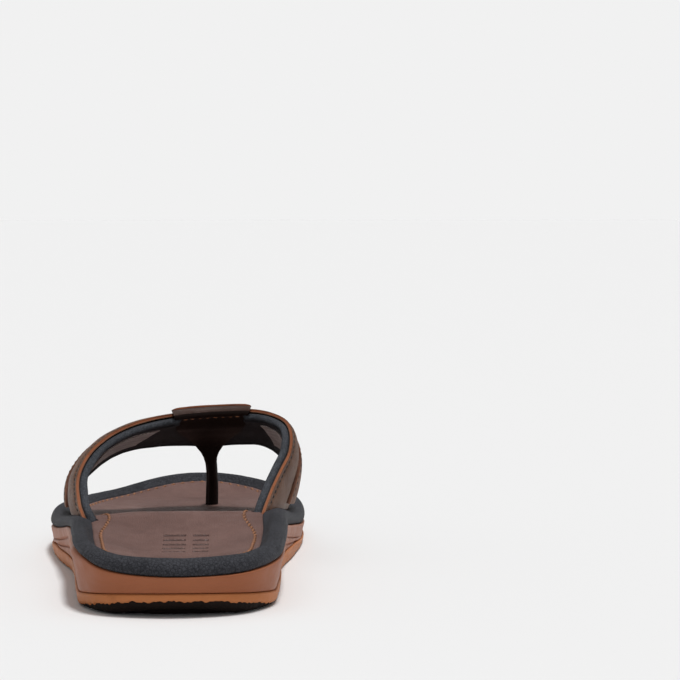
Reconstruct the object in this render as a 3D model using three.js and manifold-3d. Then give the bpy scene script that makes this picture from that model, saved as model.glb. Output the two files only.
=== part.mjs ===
// Left toe-post sandal (flip flop) with a contoured footbed, EU 43.
// Millimetres, +Z up, toe at +Y, +X the medial (big toe) side, ground at z = 0.
// Shapes are laid out from the heel's back (y = 0) and moved at the end, so the
// origin is the centre of the foot of the bounding box.
import * as THREE from 'three';
import { ParametricGeometry } from 'three/addons/geometries/ParametricGeometry.js';
import { mergeVertices } from 'three/addons/utils/BufferGeometryUtils.js';
import Module from 'manifold-3d';
const wasm = await Module();
wasm.setup();

// ---------------------------------------------------------------- dimensions
const LENGTH = 288;          // heel back to toe tip
const STATIONS = 48;         // stations round the sole, even
const GAP = 0.3;             // glue line between neighbouring pieces
const FLEX_Y = 200;          // the ball line, where the sole bends
const FLEX_GAP = 0.4;        // slit between the two halves
const RIM_WIDTH = 9.5;       // padded rim round the footbed
const RIM_SKIN = 1.1;
const COVER_EDGE = 9.9;      // inset of the footbed cover
const COVER = 1.3;           // leather cover thickness
const BOARD = 1.4;           // insole board thickness
const THREAD_INSET = 12.4;
const SHELL = 1.7;           // band leather
const PAD = 3.6;             // band padding with its lining
const LINING = 1.0;
const WRAP = 1.3;            // saddle leather
const POST = [11.2, 227];    // where the toe post enters the footbed
const POST_R = 2.8;
const CORE_R = 1.25;

// plan outline: heel back, medial side, toe tip, lateral side
const MEDIAL = [[0, 0], [24, 7], [36.5, 26], [39.5, 50], [41, 80], [41.2, 105],
  [43, 132], [46.5, 160], [50, 190], [51, 217], [47.8, 246], [38.6, 270]];
const TOE = [15.5, 288];
const LATERAL = [[-9.5, 284.6], [-31.5, 266.5], [-46.4, 240], [-54.2, 208], [-55.2, 180],
  [-51, 148], [-46, 118], [-43, 88], [-40.3, 52], [-36.8, 26], [-24.6, 7]];

// heights along y: [y, medial side, lateral side]
const RIM_LOW = [[0, 14.8, 14.8], [5, 15.2, 15.9], [11, 15.9, 17.5], [18, 16.6, 19.4], [38, 18.5, 21.6], [75, 20, 21.6],
  [105, 19.3, 19.5], [150, 14, 13.4], [200, 8.9, 9.4], [240, 8.8, 9.2], [270, 11.2, 11.6],
  [288, 14.2, 14.2]];
const RIM_CREST = [[0, 20.8, 20.8], [18, 21.9, 23], [38, 23.4, 24.7], [75, 25.3, 25.5], [105, 25.3, 23.6],
  [125, 23.6, 21.4], [150, 20, 18.8], [175, 17.8, 17.6], [200, 17.2, 17.2], [240, 16.8, 16.2],
  [265, 18.2, 16.6], [288, 20.7, 20.7]];
const RIM_INNER = [[0, 19.6, 19.6], [18, 19.7, 20], [58, 20, 21], [80, 21.8, 22.2], [105, 23.8, 23],
  [122, 23, 21.4], [150, 18.4, 17.4], [175, 15.8, 15.6], [200, 15, 15], [240, 14.6, 14.3],
  [265, 15.7, 14.7], [288, 17.9, 17.9]];
// heights along y of the middle of the footbed, parting line, ground and foam
const FOOTBED = [[34, 16.6], [60, 17.4], [85, 20.4], [110, 24], [130, 21.6], [155, 17],
  [180, 14.2], [205, 13.4], [235, 13.3], [250, 13.5]];
const PARTING = [[0, 8.5], [15, 6.8], [35, 5.1], [75, 5], [150, 5.4], [190, 3.4],
  [240, 4.2], [270, 7.3], [288, 10.5]];
const EDGE_Z = [[0, 5.3], [10, 3.6], [22, 1.6], [36, 0.4], [50, 0], [185, 0], [210, 0.3],
  [240, 1.6], [265, 4.4], [288, 7.8]];
const GROUND = [[0, 4.4], [6, 2.6], [12.5, 0.1], [14, 0], [15, 0], [188, 0], [190, 0], [215, 0.3], [240, 1.5], [265, 4.1],
  [288, 7.2]];
const FOAM = [[0, 3.9], [110, 4], [180, 2.8], [288, 2.6]];

// band: rear and front edge of its middle layer, lateral end to medial end
const REAR = [[-33, 87, 9], [-33.6, 89, 14.5], [-35.6, 93, 21.5], [-39, 103, 28.8],
  [-40, 120.5, 37.8], [-34.8, 142, 46.2], [-25, 158, 52], [-12, 171, 55.2], [2, 180, 56.6],
  [14, 182.5, 57.2], [26, 178, 57.8], [36, 168, 57.1], [42.8, 155, 53.4], [43, 141.5, 45],
  [37, 124.5, 34.6], [32, 109.5, 24.6], [30.4, 105, 16.5], [30, 104, 10]];
const FRONT = [[-41.2, 163, 8], [-42, 164, 13], [-44.1, 167.5, 18.5], [-45.1, 174, 24.5],
  [-42.8, 183, 30], [-36, 194, 35.8], [-26, 202.5, 40.2], [-13, 210, 41.8], [0, 215, 41.6],
  [12, 216.5, 41.2], [23.5, 212.5, 42.2], [33.5, 203.5, 42.4], [40.5, 193.5, 39.2],
  [44.2, 182, 34], [45, 175, 27], [42.7, 169.5, 20], [38.4, 167.5, 14], [36.9, 166.5, 8]];
const BULGE = 2.2;           // the band is convex across
const LAST = REAR.length - 1;
const SADDLE_AT = 8.83;      // along the band, in rows of REAR

// ------------------------------------------------------------------- helpers
const clamp = THREE.MathUtils.clamp, lerp = THREE.MathUtils.lerp;
const ease = (t) => { const c = clamp(t, 0, 1); return c * c * (3 - 2 * c); };

// monotone-free Hermite through [y, a, b...] rows, column c
function along(rows, y, c = 1) {
  const n = rows.length, v = clamp(y, rows[0][0], rows[n - 1][0]);
  let i = 0;
  while (i < n - 2 && v > rows[i + 1][0]) i++;
  const slope = (k) => {
    const a = rows[Math.max(k - 1, 0)], b = rows[Math.min(k + 1, n - 1)];
    return (b[c] - a[c]) / (b[0] - a[0]);
  };
  const h = rows[i + 1][0] - rows[i][0], t = (v - rows[i][0]) / h;
  return (2 * t ** 3 - 3 * t * t + 1) * rows[i][c] + (t ** 3 - 2 * t * t + t) * h * slope(i)
    + (3 * t * t - 2 * t ** 3) * rows[i + 1][c] + (t ** 3 - t * t) * h * slope(i + 1);
}

function toSolid(geometry) {
  const bare = geometry.index ? geometry.toNonIndexed() : geometry.clone();
  bare.deleteAttribute('normal');
  bare.deleteAttribute('uv');
  const merged = mergeVertices(bare, 1e-4), tri = [];
  const ix = merged.index.array;
  for (let i = 0; i < ix.length; i += 3) {
    const [a, b, c] = [ix[i], ix[i + 1], ix[i + 2]];
    if (a !== b && b !== c && c !== a) tri.push(a, b, c);
  }
  const make = (t) => new wasm.Manifold(new wasm.Mesh({
    numProp: 3, vertProperties: merged.attributes.position.array, triVerts: new Uint32Array(t),
  }));
  let made = make(tri);
  if (made.volume() < 0) {
    for (let i = 0; i < tri.length; i += 3) [tri[i + 1], tri[i + 2]] = [tri[i + 2], tri[i + 1]];
    made = make(tri);
  }
  return made;
}

// a skin over rings of equal length; each ring closes on itself
function loft(rings, ringLoop = false) {
  const rows = ringLoop ? [...rings, rings[0]] : rings;
  const cols = rows[0].length, last = rows.length - 1;
  const skin = new ParametricGeometry((u, v, out) => {
    const p = rows[Math.round(v * last)][Math.round(u * cols) % cols];
    out.set(p[0], p[1], p[2]);
  }, cols, last);
  // each four-sided patch folds along the diagonal from its rearmost corner, so
  // the facing surfaces of two neighbours fold alike
  const ix = skin.index.array, at = skin.attributes.position;
  for (let k = 0; k < ix.length; k += 6) {
    const [a, b, d, c] = [ix[k], ix[k + 1], ix[k + 2], ix[k + 4]];
    const key = (n) => at.getY(n) + 1e-3 * at.getX(n);
    if (Math.min(key(a), key(c)) < Math.min(key(b), key(d))) ix.set([a, b, c, a, c, d], k);
  }
  return toSolid(skin);
}

const box = (x0, y0, z0, x1, y1, z1) => {
  const g = new THREE.BoxGeometry(x1 - x0, y1 - y0, z1 - z0);
  g.translate((x0 + x1) / 2, (y0 + y1) / 2, (z0 + z1) / 2);
  return toSolid(g);
};

const pin = (x, y, z0, z1, r, sides = 20) => {
  const g = new THREE.CylinderGeometry(r, r, z1 - z0, sides);
  g.rotateX(Math.PI / 2);
  g.translate(x, y, (z0 + z1) / 2);
  return toSolid(g);
};

// ------------------------------------------------------------- sole outline
const loop = new THREE.CatmullRomCurve3(
  [...MEDIAL, TOE, ...LATERAL].map(([x, y]) => new THREE.Vector3(x, y, 0)),
  true, 'catmullrom', 0.5);
const HALF = STATIONS / 2;
function spaced(from, to) {
  const fine = Array.from({ length: 401 }, (_, k) => loop.getPoint(lerp(from, to, k / 400) % 1));
  const run = [0];
  for (let k = 1; k < fine.length; k++) run.push(run[k - 1] + fine[k].distanceTo(fine[k - 1]));
  return Array.from({ length: HALF }, (_, i) => {
    const want = (run[400] * i) / HALF;
    let k = 1;
    while (run[k] < want) k++;
    const p = fine[k - 1].clone().lerp(fine[k], (want - run[k - 1]) / (run[k] - run[k - 1]));
    return [p.x, p.y];
  });
}
const toeAt = MEDIAL.length / (MEDIAL.length + 1 + LATERAL.length);
const RING = [...spaced(0, toeAt), ...spaced(toeAt, 1)];
const NORMAL = RING.map((_, i) => {
  const a = RING[(i + STATIONS - 1) % STATIONS], b = RING[(i + 1) % STATIONS];
  const dx = b[0] - a[0], dy = b[1] - a[1], l = Math.hypot(dx, dy);
  return [-dy / l, dx / l];      // points into the sole
});
const side = (i) => (i <= HALF ? 1 : 2);
const mix3 = (rows, i) => {
  const y = RING[i][1];
  if (i === 0 || i === HALF) return (along(rows, y, 1) + along(rows, y, 2)) / 2;
  return along(rows, y, side(i));
};
const low = (i) => mix3(RIM_LOW, i);
const crest = (i) => mix3(RIM_CREST, i);
const inner = (i) => mix3(RIM_INNER, i);
const lowIn = (i) => Math.min(low(i) - 0.5, inner(i) - 3);
const inset = (i, d) => [RING[i][0] + NORMAL[i][0] * d, RING[i][1] + NORMAL[i][1] * d];

const SPINE_FROM = 36, SPINE_TO = 246;
function middle(y) {           // the sole's centre line
  const rows = RING.slice(0, HALF + 1).map((p, i) => {
    const q = RING[(STATIONS - i) % STATIONS];
    return [(p[1] + q[1]) / 2, (p[0] + q[0]) / 2];
  });
  let i = 0;
  while (i < rows.length - 2 && y > rows[i + 1][0]) i++;
  return lerp(rows[i][1], rows[i + 1][1], (y - rows[i][0]) / (rows[i + 1][0] - rows[i][0]));
}
const spine = RING.map((p, i) => {
  const q = RING[(STATIONS - i) % STATIONS];
  const y = clamp((p[1] + q[1]) / 2, SPINE_FROM, SPINE_TO);
  return [middle(y), y];
});
const toward = (i, d, s) => {
  const p = inset(i, d), q = spine[i];
  return [lerp(p[0], q[0], s), lerp(p[1], q[1], s)];
};

// top of the footbed cover at any plan point
function coverZ(x, y) {
  let best = Infinity, edge = 0;
  for (let i = 0; i < STATIONS; i++) {
    const j = (i + 1) % STATIONS, a = RING[i], b = RING[j];
    const dx = b[0] - a[0], dy = b[1] - a[1];
    const t = clamp(((x - a[0]) * dx + (y - a[1]) * dy) / (dx * dx + dy * dy), 0, 1);
    const d = Math.hypot(x - a[0] - dx * t, y - a[1] - dy * t);
    if (d < best) { best = d; edge = lerp(inner(i), inner(j), t) - 0.3; }
  }
  return lerp(edge, along(FOOTBED, y), ease((best - COVER_EDGE) / 22));
}
const foamTop = (x, y) => coverZ(x, y) - COVER - GAP;
const boardTop = (x, y) => foamTop(x, y) - along(FOAM, y) - GAP;
const floorZ = (x, y) => boardTop(x, y) - BOARD - GAP;
const part = (x, y) => along(PARTING, y);

// rings of a layer between two height functions
const ringAt = (d, s, z) => RING.map((_, i) => {
  const [x, y] = toward(i, typeof d === 'function' ? d(i) : d, s);
  return [x, y, z(x, y, i)];
});
const DEEP = [0, 0.36, 1], UPPER = [0, 0.3, 0.64, 1];
function layer(edge, zLow, zTop, lower, upper) {
  return loft([
    ...[...lower].reverse().map((s) => ringAt(edge, s, zLow)),
    ...upper.map((s) => ringAt(edge, s, zTop)),
  ]);
}

// --------------------------------------------------------------- band frame
const rearCurve = new THREE.CatmullRomCurve3(REAR.map((p) => new THREE.Vector3(...p)),
  false, 'catmullrom', 0.5);
const frontCurve = new THREE.CatmullRomCurve3(FRONT.map((p) => new THREE.Vector3(...p)),
  false, 'catmullrom', 0.5);
function sheetAt(row, t) {
  const u = clamp(row / LAST, 0, 1), r = rearCurve.getPoint(u), f = frontCurve.getPoint(u);
  return r.lerp(f, t);
}
function bandNormal(row, t) {
  const e = 0.05;
  const du = sheetAt(row + e, t).sub(sheetAt(row - e, t));
  const dt = sheetAt(row, t + e).sub(sheetAt(row, t - e));
  return du.cross(dt).normalize();
}
// a point of the band: row along it, t across (0 rear, 1 front), w mm outwards
function band(row, t, w) {
  const n = bandNormal(row, t);
  const p = sheetAt(row, t).addScaledVector(n, w + BULGE * (4 * clamp(t, 0, 1) * (1 - clamp(t, 0, 1)) - 0.4));
  return [p.x, p.y, p.z];
}
const bandWidth = (row) => sheetAt(row, 0).distanceTo(sheetAt(row, 1));

const steps = (a, b, n) => Array.from({ length: n + 1 }, (_, k) => lerp(a, b, k / n));

// a slab that follows the band between w0 and w1
function slab(rows, ts, w0, w1) {
  const span = (row) => (typeof ts === 'function' ? ts(row) : ts);
  const ring = (row, a, b) => {
    const t = span(row);
    return [...t.map((v) => band(row, v, b)), ...[...t].reverse().map((v) => band(row, v, a))];
  };
  const m = (w0 + w1) / 2, first = rows[0], last = rows[rows.length - 1];
  return loft([ring(first, m, m), ...rows.map((r) => ring(r, w0, w1)), ring(last, m, m)]);
}

// a bead that runs along the band at t
function bead(rows, t, w0, height = 0.7, width = 0.9) {
  const ring = (row, k) => {
    const at = typeof t === 'function' ? t(row) : t, dt = (width * k) / 2 / bandWidth(row);
    return [band(row, at - dt, w0), band(row, at - dt, w0 + height * k),
      band(row, at + dt, w0 + height * k), band(row, at + dt, w0)];
  };
  const flat = (row) => {
    const at = typeof t === 'function' ? t(row) : t;
    return [0, 0, 0, 0].map(() => band(row, at, w0 + height / 2));
  };
  return loft([flat(rows[0]), ...rows.map((r) => ring(r, 1)), flat(rows[rows.length - 1])]);
}

// ------------------------------------------------------------ sole, whole
const outsoleWhole = (() => {
  const wave = (i) => 0.35 * Math.sin(i * 2.2);
  const ground = (x, y) => along(GROUND, y);
  const rings = [
    ringAt(9, 1, ground), ringAt(9, 0.45, ground), ringAt(9, 0, ground),
    ringAt(3.4, 0, (x, y, i) => Math.max(along(EDGE_Z, RING[i][1]) - 0.5, ground(x, y)) + 0),
    ringAt(2.5, 0, (x, y, i) => along(EDGE_Z, RING[i][1]) + 0.6 + wave(i)),
    ringAt(1.5, 0, (x, y, i) => part(x, RING[i][1]) - 0.7),
    ringAt(2.0, 0, part), ringAt(9, 0, part), ringAt(9, 0.5, part), ringAt(9, 1, part),
  ];
  let body = loft(rings);
  const grooves = [...steps(26, 96, 5), ...steps(156, 236, 6).filter((y) => Math.abs(y - FLEX_Y) > 4)];
  for (const y of grooves) {
    const z = along(GROUND, y);
    body = body.subtract(box(-60, y - 1.3, -4, 60, y + 1.3, z + 1.5));
  }
  return body;
})();

const midsoleWhole = (() => {
  const bottom = (x, y) => part(x, y) + GAP;
  const wall = (k, d) => ringAt(d, 0, (x, y, i) => lerp(part(x, RING[i][1]) + GAP, low(i) - GAP, k));
  return loft([
    ringAt(10.2, 1, bottom), ringAt(10.2, 0.5, bottom), ringAt(10.2, 0, bottom),
    ringAt(2.9, 0, bottom), wall(0.1, 2.2), wall(0.35, 1.7), wall(0.72, 1.1), wall(1, 1.0),
    ringAt(9.8, 0, (x, y, i) => lowIn(i) - GAP),
    ...DEEP.map((s) => ringAt(10.1, s, floorZ)),
  ]);
})();

// padded rim: a skin wrapped over a foam core, open along its underside
const seat = (i, d) => lerp(low(i), lowIn(i), (d - 1) / 8.8);
function rimSection(i) {
  const a = low(i), c = crest(i), e = inner(i);
  return [[1.3, seat(i, 1.3)], [0.35, a + (c - a) * 0.36], [1.2, a + (c - a) * 0.78],
    [3.2, c - 0.2], [6.2, c - 0.15], [8.5, e + 0.1], [RIM_WIDTH, e - 1.2],
    [RIM_WIDTH, seat(i, RIM_WIDTH)]];
}
function shrink(section, by) {
  return section.map(([d, z], k) => {
    const p = section[Math.max(k - 1, 0)], q = section[Math.min(k + 1, section.length - 1)];
    const l = Math.hypot(q[0] - p[0], q[1] - p[1]);
    return [d + ((q[1] - p[1]) / l) * by, z - ((q[0] - p[0]) / l) * by];
  });
}
const placed = (i, [d, z]) => [...inset(i, d), z];
const rimWhole = loft(RING.map((_, i) => {
  const out = rimSection(i), inn = shrink(out, RIM_SKIN);
  for (const k of [0, inn.length - 1]) inn[k][1] = seat(i, inn[k][0]);
  return [...out, ...inn.reverse()].map((p) => placed(i, p));
}), true);
const rimCoreWhole = loft(RING.map((_, i) => {
  const s = shrink(rimSection(i), RIM_SKIN + GAP);
  for (const k of [0, s.length - 1]) s[k][1] = seat(i, s[k][0]);
  return s.map((p) => placed(i, p));
}), true);

const boardWhole = layer(10.4, (x, y) => boardTop(x, y) - BOARD, boardTop, DEEP, DEEP);
const foamWhole = layer(10.4, (x, y) => boardTop(x, y) + GAP, foamTop, DEEP, UPPER);

// the seam runs round the cover and swings inboard past the band's slots
const seam = (i) => {
  const y = RING[i][1], past = ease((y - 64) / 42) * (1 - ease((y - 172) / 24));
  return THREAD_INSET + past * 5.4;
};
const coverWhole = (() => {
  const under = (x, y) => coverZ(x, y) - COVER;
  const groove = (x, y) => coverZ(x, y) - 0.25;
  return loft([
    ...[...UPPER].reverse().map((s) => ringAt(COVER_EDGE, s, under)), ringAt(COVER_EDGE, 0, coverZ),
    ringAt((i) => seam(i) - 0.9, 0, coverZ), ringAt(seam, 0, groove),
    ringAt((i) => seam(i) + 0.9, 0, coverZ),
    ringAt(COVER_EDGE, 0.34, coverZ), ringAt(COVER_EDGE, 0.64, coverZ), ringAt(COVER_EDGE, 1, coverZ),
  ]);
})();
const seamWhole = loft(RING.map((_, i) => {
  const at = (d, up) => {
    const [x, y] = inset(i, d);
    return [x, y, coverZ(x, y) + up];
  };
  return [at(seam(i) - 0.45, 0.15), at(seam(i) - 0.3, 0.7), at(seam(i) + 0.3, 0.7), at(seam(i) + 0.45, 0.15)];
}), true);

// ------------------------------------------------------------- band pieces
const rows = steps(0, LAST, 34).filter((r, k) => k < 8 || k > 26 || k % 2 === 1);
const across = (a, b, n) => steps(a, b, n);
function liningBody() {
  const up = -GAP, down = -PAD, lip = -PAD + LINING;
  const section = [[0, up], [0, down + 0.7], [0.012, down], [0.25, down], [0.5, down],
    [0.75, down], [0.988, down], [1, down + 0.7], [1, up], [0.972, up], [0.972, lip],
    [0.75, lip], [0.5, lip], [0.25, lip], [0.028, lip], [0.028, up]];
  const flat = [[0.014, up], [0.007, down + 0.6], [0.02, -3.1], [0.25, -3.1], [0.5, -3.1],
    [0.75, -3.1], [0.98, -3.1], [0.993, down + 0.6], [0.986, up], [0.986, up], [0.993, down + 0.6],
    [0.75, -3.1], [0.5, -3.1], [0.25, -3.1], [0.007, down + 0.6], [0.014, up]];
  flat[10] = flat[6]; flat[14] = flat[2];
  flat[1] = [0.014, up]; flat[7] = [0.986, up];
  flat[0] = flat[1] = flat[15] = [0.014, up];
  flat[7] = flat[8] = flat[9] = [0.986, up];
  const ring = (row, s) => s.map(([t, w]) => band(row, t, w));
  return loft([ring(0, flat), ...rows.map((r) => ring(r, section)), ring(LAST, flat)]);
}
const lining = liningBody();
const bandFoam = slab(rows, [0.045, 0.25, 0.5, 0.75, 0.955], -PAD + LINING + GAP + 0.12, -2 * GAP);
const shell = slab(rows, [0.012, 0.25, 0.5, 0.75, 0.99], 0, SHELL);
const stripT = across(0.56, 0.94, 2);
const stripLateral = slab(steps(2.75, 7.15, 11), stripT, SHELL + GAP, SHELL + GAP + 1.3);
const stripMedial = slab(steps(10.35, 14.6, 10), stripT, SHELL + GAP, SHELL + GAP + 1.3);
const top = SHELL + 0.12;
const threads = {
  thread_rear_lateral: bead(steps(2.75, 7.1, 11), 0.075, top),
  thread_rear_medial: bead(steps(10.4, 14.5, 11), 0.075, top),
  thread_strip_lateral: bead(steps(2.95, 7, 10), 0.64, SHELL + GAP + 1.42),
  thread_strip_medial: bead(steps(10.5, 14.4, 10), 0.64, SHELL + GAP + 1.42),
};
const labelLateral = slab([4.5, 5.5, 6.5], [0.42, 0.5, 0.75, 0.86], -PAD - 0.95, -PAD - 0.4);
const labelMedial = slab([11.5, 12.5], [0.3, 0.5, 0.75, 0.8], -PAD - 0.95, -PAD - 0.4);

// saddle: leather folded over the band's rear edge, with the rolled toe post under it
function rowNear(mm) {         // row that lies mm along the band from the saddle's centre
  const per = sheetAt(SADDLE_AT + 0.5, 0.4).distanceTo(sheetAt(SADDLE_AT - 0.5, 0.4));
  return SADDLE_AT + mm / per;
}
function saddleWrap() {
  const out = SHELL + 0.45, inn = -PAD - 0.8, mid = (out + inn) / 2, r = (out - inn) / 2;
  const path = [];
  for (const t of steps(0.9, 0.06, 4)) path.push([t, out]);
  for (const a of steps(60, -60, 2)) {
    path.push(['edge', mid + r * Math.sin((a * Math.PI) / 180), r * Math.cos((a * Math.PI) / 180) * 0.55]);
  }
  for (const t of steps(0.06, 0.94, 4)) path.push([t, inn]);
  const half = (k) => {
    const t = path[k][0] === 'edge' ? 0 : path[k][0];
    return k <= 5 ? lerp(15, 12, t) : lerp(15.6, 8.2, ease(t));
  };
  const ringFor = (s, grow) => path.map((p, k) => {
    const row = rowNear(s * half(k));
    if (p[0] === 'edge') {
      const outDir = (p[1] - mid) / r;
      return band(row, -(p[2] + grow * 0.9) / bandWidth(row) - 0.012, p[1] + grow * outDir * 0.9);
    }
    return band(row, p[0], k <= 5 ? p[1] + grow : p[1] - grow);
  });
  const ring = (s, g0, g1) => [...ringFor(s, g1), ...ringFor(s, g0).reverse()];
  const h = WRAP / 2;
  return loft([ring(-1, h, h), ...steps(-1, 1, 8).map((s) => ring(s, 0, WRAP)), ring(1, h, h)]);
}
const postPath = new THREE.CatmullRomCurve3([
  new THREE.Vector3(...band(SADDLE_AT, 0.68, -PAD - 4.6)),
  new THREE.Vector3(...band(SADDLE_AT, 0.9, -PAD - 5.1)),
  new THREE.Vector3(POST[0], 218.2, 31),
  new THREE.Vector3(POST[0] + 0.2, 223, 26),
  new THREE.Vector3(POST[0] + 0.1, 226.2, 19),
  new THREE.Vector3(POST[0], POST[1], 13),
  new THREE.Vector3(POST[0], POST[1], 7.2),
], false, 'catmullrom', 0.5);
function tubeOn(path, from, to, count, radii, sides) {
  const ring = (u, k) => {
    const p = path.getPoint(u), d = path.getTangent(u), x = new THREE.Vector3(1, 0, 0);
    const v = d.clone().cross(x).normalize(), [a, b] = radii(u);
    return Array.from({ length: sides }, (_, j) => {
      const q = (j / sides) * Math.PI * 2;
      const r = p.clone().addScaledVector(x, Math.cos(q) * a * k).addScaledVector(v, Math.sin(q) * b * k);
      return [r.x, r.y, r.z];
    });
  };
  const us = steps(from, to, count);
  return loft([ring(us[0], 0), ...us.map((u) => ring(u, 1)), ring(us[count], 0)]);
}
const postRadii = (u) => [lerp(8, POST_R, ease(u / 0.42)), lerp(1.5, POST_R, ease(u / 0.4))];
const postCore = tubeOn(postPath, 0.34, 0.94, 12, () => [CORE_R, CORE_R], 10);
const coreWell = tubeOn(postPath, 0.32, 1, 12, () => [CORE_R + GAP, CORE_R + GAP], 10)
  .add(pin(POST[0], POST[1], 2, 10, CORE_R + GAP, 10));
const postRoll = tubeOn(postPath, 0, 1, 16, postRadii, 14);
const saddle = saddleWrap();
const toePost = postRoll.subtract(coreWell);
const overlayW = SHELL + 0.45 + WRAP + 0.35;
const saddleOverlay = slab(steps(rowNear(-15), rowNear(15), 6),
  across(0.02, 0.86, 4), overlayW, overlayW + 1.4);
const saddleThread = bead(steps(rowNear(-12), rowNear(12), 6), 0.1, -PAD - 0.8 - WRAP - 0.85);

// ------------------------------------------------------- pockets and anchors
function pocket(lateral, a, b) {
  const ts = across(-0.02, 1.02, 4), m = (a + b) / 2;
  const ring = (row, w0, w1, drop = 0) => [...ts.map((t) => band(row, t, w1)),
    ...[...ts].reverse().map((t) => band(row, t, w0))].map(([x, y, z]) => [x, y, z - drop]);
  const own = lateral ? rows.filter((r) => r < 3.6) : rows.filter((r) => r > LAST - 3.6).reverse();
  const end = own[own.length - 1];
  return loft([ring(own[0], m, m, 1.2), ring(own[0], a, b, 1.2),
    ...own.map((r) => ring(r, a, b)), ring(end, m, m)]);
}
const legLateral = pocket(true, -PAD - 0.45, SHELL + 0.45);
const legMedial = pocket(false, -PAD - 0.45, SHELL + 0.45);
const slotLateral = pocket(true, -PAD - 0.45, 9);
const slotMedial = pocket(false, -PAD - 0.45, 9);
const cutSlots = (m) => m.subtract(slotLateral).subtract(slotMedial);
const cutLegs = (m) => m.subtract(legLateral).subtract(legMedial);

function plate(x0, x1, y0, y1, down, up, skew = 0) {
  const n = 4, ys = steps(y0, y1, 6);
  const xs = (y) => steps(x0, x1, n).map((x) => x + skew * (y - y0));
  const ring = (y, a, b) => [...xs(y).map((x) => [x, y, floorZ(x, y) + b]),
    ...xs(y).reverse().map((x) => [x, y, floorZ(x, y) + a])];
  const m = (down + up) / 2;
  return loft([ring(y0, m, m), ...ys.map((y) => ring(y, down, up)), ring(y1, m, m)]);
}
const tabLateral = plate(-29, -17, 120, 162, -1.35, -0.15, -0.09);
const tabMedial = plate(14, 27, 124, 162, -1.35, -0.15, 0.06);
const shank = plate(-8, 8, 48, 150, -1.4, -0.2);
const recesses = [plate(-29.4, -16.6, 119.6, 162.4, -1.7, 2, -0.09),
  plate(13.6, 27.4, 123.6, 162.4, -1.7, 2, 0.06), plate(-8.4, 8.4, 47.6, 150.4, -1.7, 2)];

// a cushion under the heel that follows the seat
function disc(r, down, up) {
  const ring = (k, h) => Array.from({ length: 24 }, (_, j) => {
    const a = (j / 24) * Math.PI * 2, x = Math.sin(a) * r * k, y = 46 + Math.cos(a) * r * 1.3 * k;
    return [x, y, boardTop(x, y) + h];
  });
  return loft([ring(0, down), ring(0.5, down), ring(1, down), ring(1, up), ring(0.5, up), ring(0, up)]);
}
const heelPad = disc(17, 0, 2.2).subtract(boardWhole.translate([0, 0, GAP]));
const padRoom = disc(17.4, -2, 2.5);

const anchorFloor = floorZ(POST[0], POST[1]);
const anchor = pin(POST[0], POST[1], anchorFloor - 1.25, anchorFloor - 0.1, 8, 24)
  .add(pin(POST[0], POST[1], anchorFloor - 0.6, 7.6, CORE_R, 10));
const anchorRoom = pin(POST[0], POST[1], anchorFloor - 1.55, anchorFloor + 2, 8.4, 24);
const postHole = pin(POST[0], POST[1], 1, 40, POST_R + 0.35, 20);

// ------------------------------------------------------------------ assembly
const COLOUR = {
  rubber: [0x6e4630, 0.75], midsole: [0xa56a44, 0.6], rim: [0x35373d, 0.8], leather: [0x5a3d33, 0.6],
  dark: [0x1c1210, 0.5], thread: [0x9a6a48, 0.8], foam: [0xcfc8b8, 0.9], board: [0x9a8a70, 0.85],
  steel: [0x8f9296, 0.35], label: [0x7b665c, 0.9], web: [0x22201f, 0.8],
};
const root = new THREE.Group();
root.name = 'flip_flop';
const shift = (() => {
  const b = rimWhole.add(midsoleWhole).add(outsoleWhole).boundingBox();
  return [-(b.min[0] + b.max[0]) / 2, -(b.min[1] + b.max[1]) / 2, -b.min[2]];
})();

function put(name, solid, [hex, roughness], metalness = 0) {
  const pieces = solid.decompose().sort((a, b) => b.volume() - a.volume());
  const rest = pieces.slice(1).reduce((sum, p) => sum + p.volume(), 0);
  if (rest > 3) throw new Error(`${name} falls into ${pieces.length} pieces, ${rest} mm3 apart`);
  const mesh = pieces[0].getMesh();
  const geometry = new THREE.BufferGeometry();
  const flat = new Float32Array(mesh.numVert * 3);
  for (let i = 0; i < mesh.numVert; i++) {
    for (let k = 0; k < 3; k++) flat[i * 3 + k] = mesh.vertProperties[i * mesh.numProp + k] + shift[k];
  }
  geometry.setAttribute('position', new THREE.BufferAttribute(flat, 3));
  geometry.setIndex([...mesh.triVerts]);
  geometry.computeVertexNormals();
  const item = new THREE.Mesh(geometry, new THREE.MeshStandardMaterial({
    color: hex, roughness, metalness,
  }));
  item.name = name;
  root.add(item);
}

// a sole layer becomes a heel half and a toe half
function halves(name, whole, look, rear = (m) => m, front = (m) => m) {
  const back = whole.trimByPlane([0, -1, 0], -(FLEX_Y - FLEX_GAP / 2));
  const fore = whole.trimByPlane([0, 1, 0], FLEX_Y + FLEX_GAP / 2);
  put(`${name}_heel`, rear(back), look);
  put(`${name}_toe`, front(fore), look);
}
const cutRecesses = (m) => recesses.reduce((all, r) => all.subtract(r), m);

halves('outsole', outsoleWhole, COLOUR.rubber);
halves('midsole', midsoleWhole, COLOUR.midsole, (m) => cutLegs(cutRecesses(m)),
  (m) => m.subtract(anchorRoom));
halves('insole_board', boardWhole, COLOUR.board, cutSlots, (m) => m.subtract(postHole));
halves('footbed_foam', foamWhole, COLOUR.foam, (m) => cutSlots(m).subtract(padRoom),
  (m) => m.subtract(postHole));
halves('rim_core', rimCoreWhole, COLOUR.foam, cutLegs);
halves('rim_binding', rimWhole, COLOUR.rim, cutLegs);
halves('footbed_cover', coverWhole, COLOUR.leather, cutSlots, (m) => m.subtract(postHole));
halves('cover_seam', seamWhole, COLOUR.thread, cutSlots);
put('heel_pad', heelPad, COLOUR.foam);
put('shank', shank, COLOUR.steel, 0.8);
put('strap_tab_lateral', tabLateral, COLOUR.web);
put('strap_tab_medial', tabMedial, COLOUR.web);
put('post_anchor', anchor, COLOUR.steel, 0.8);
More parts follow.
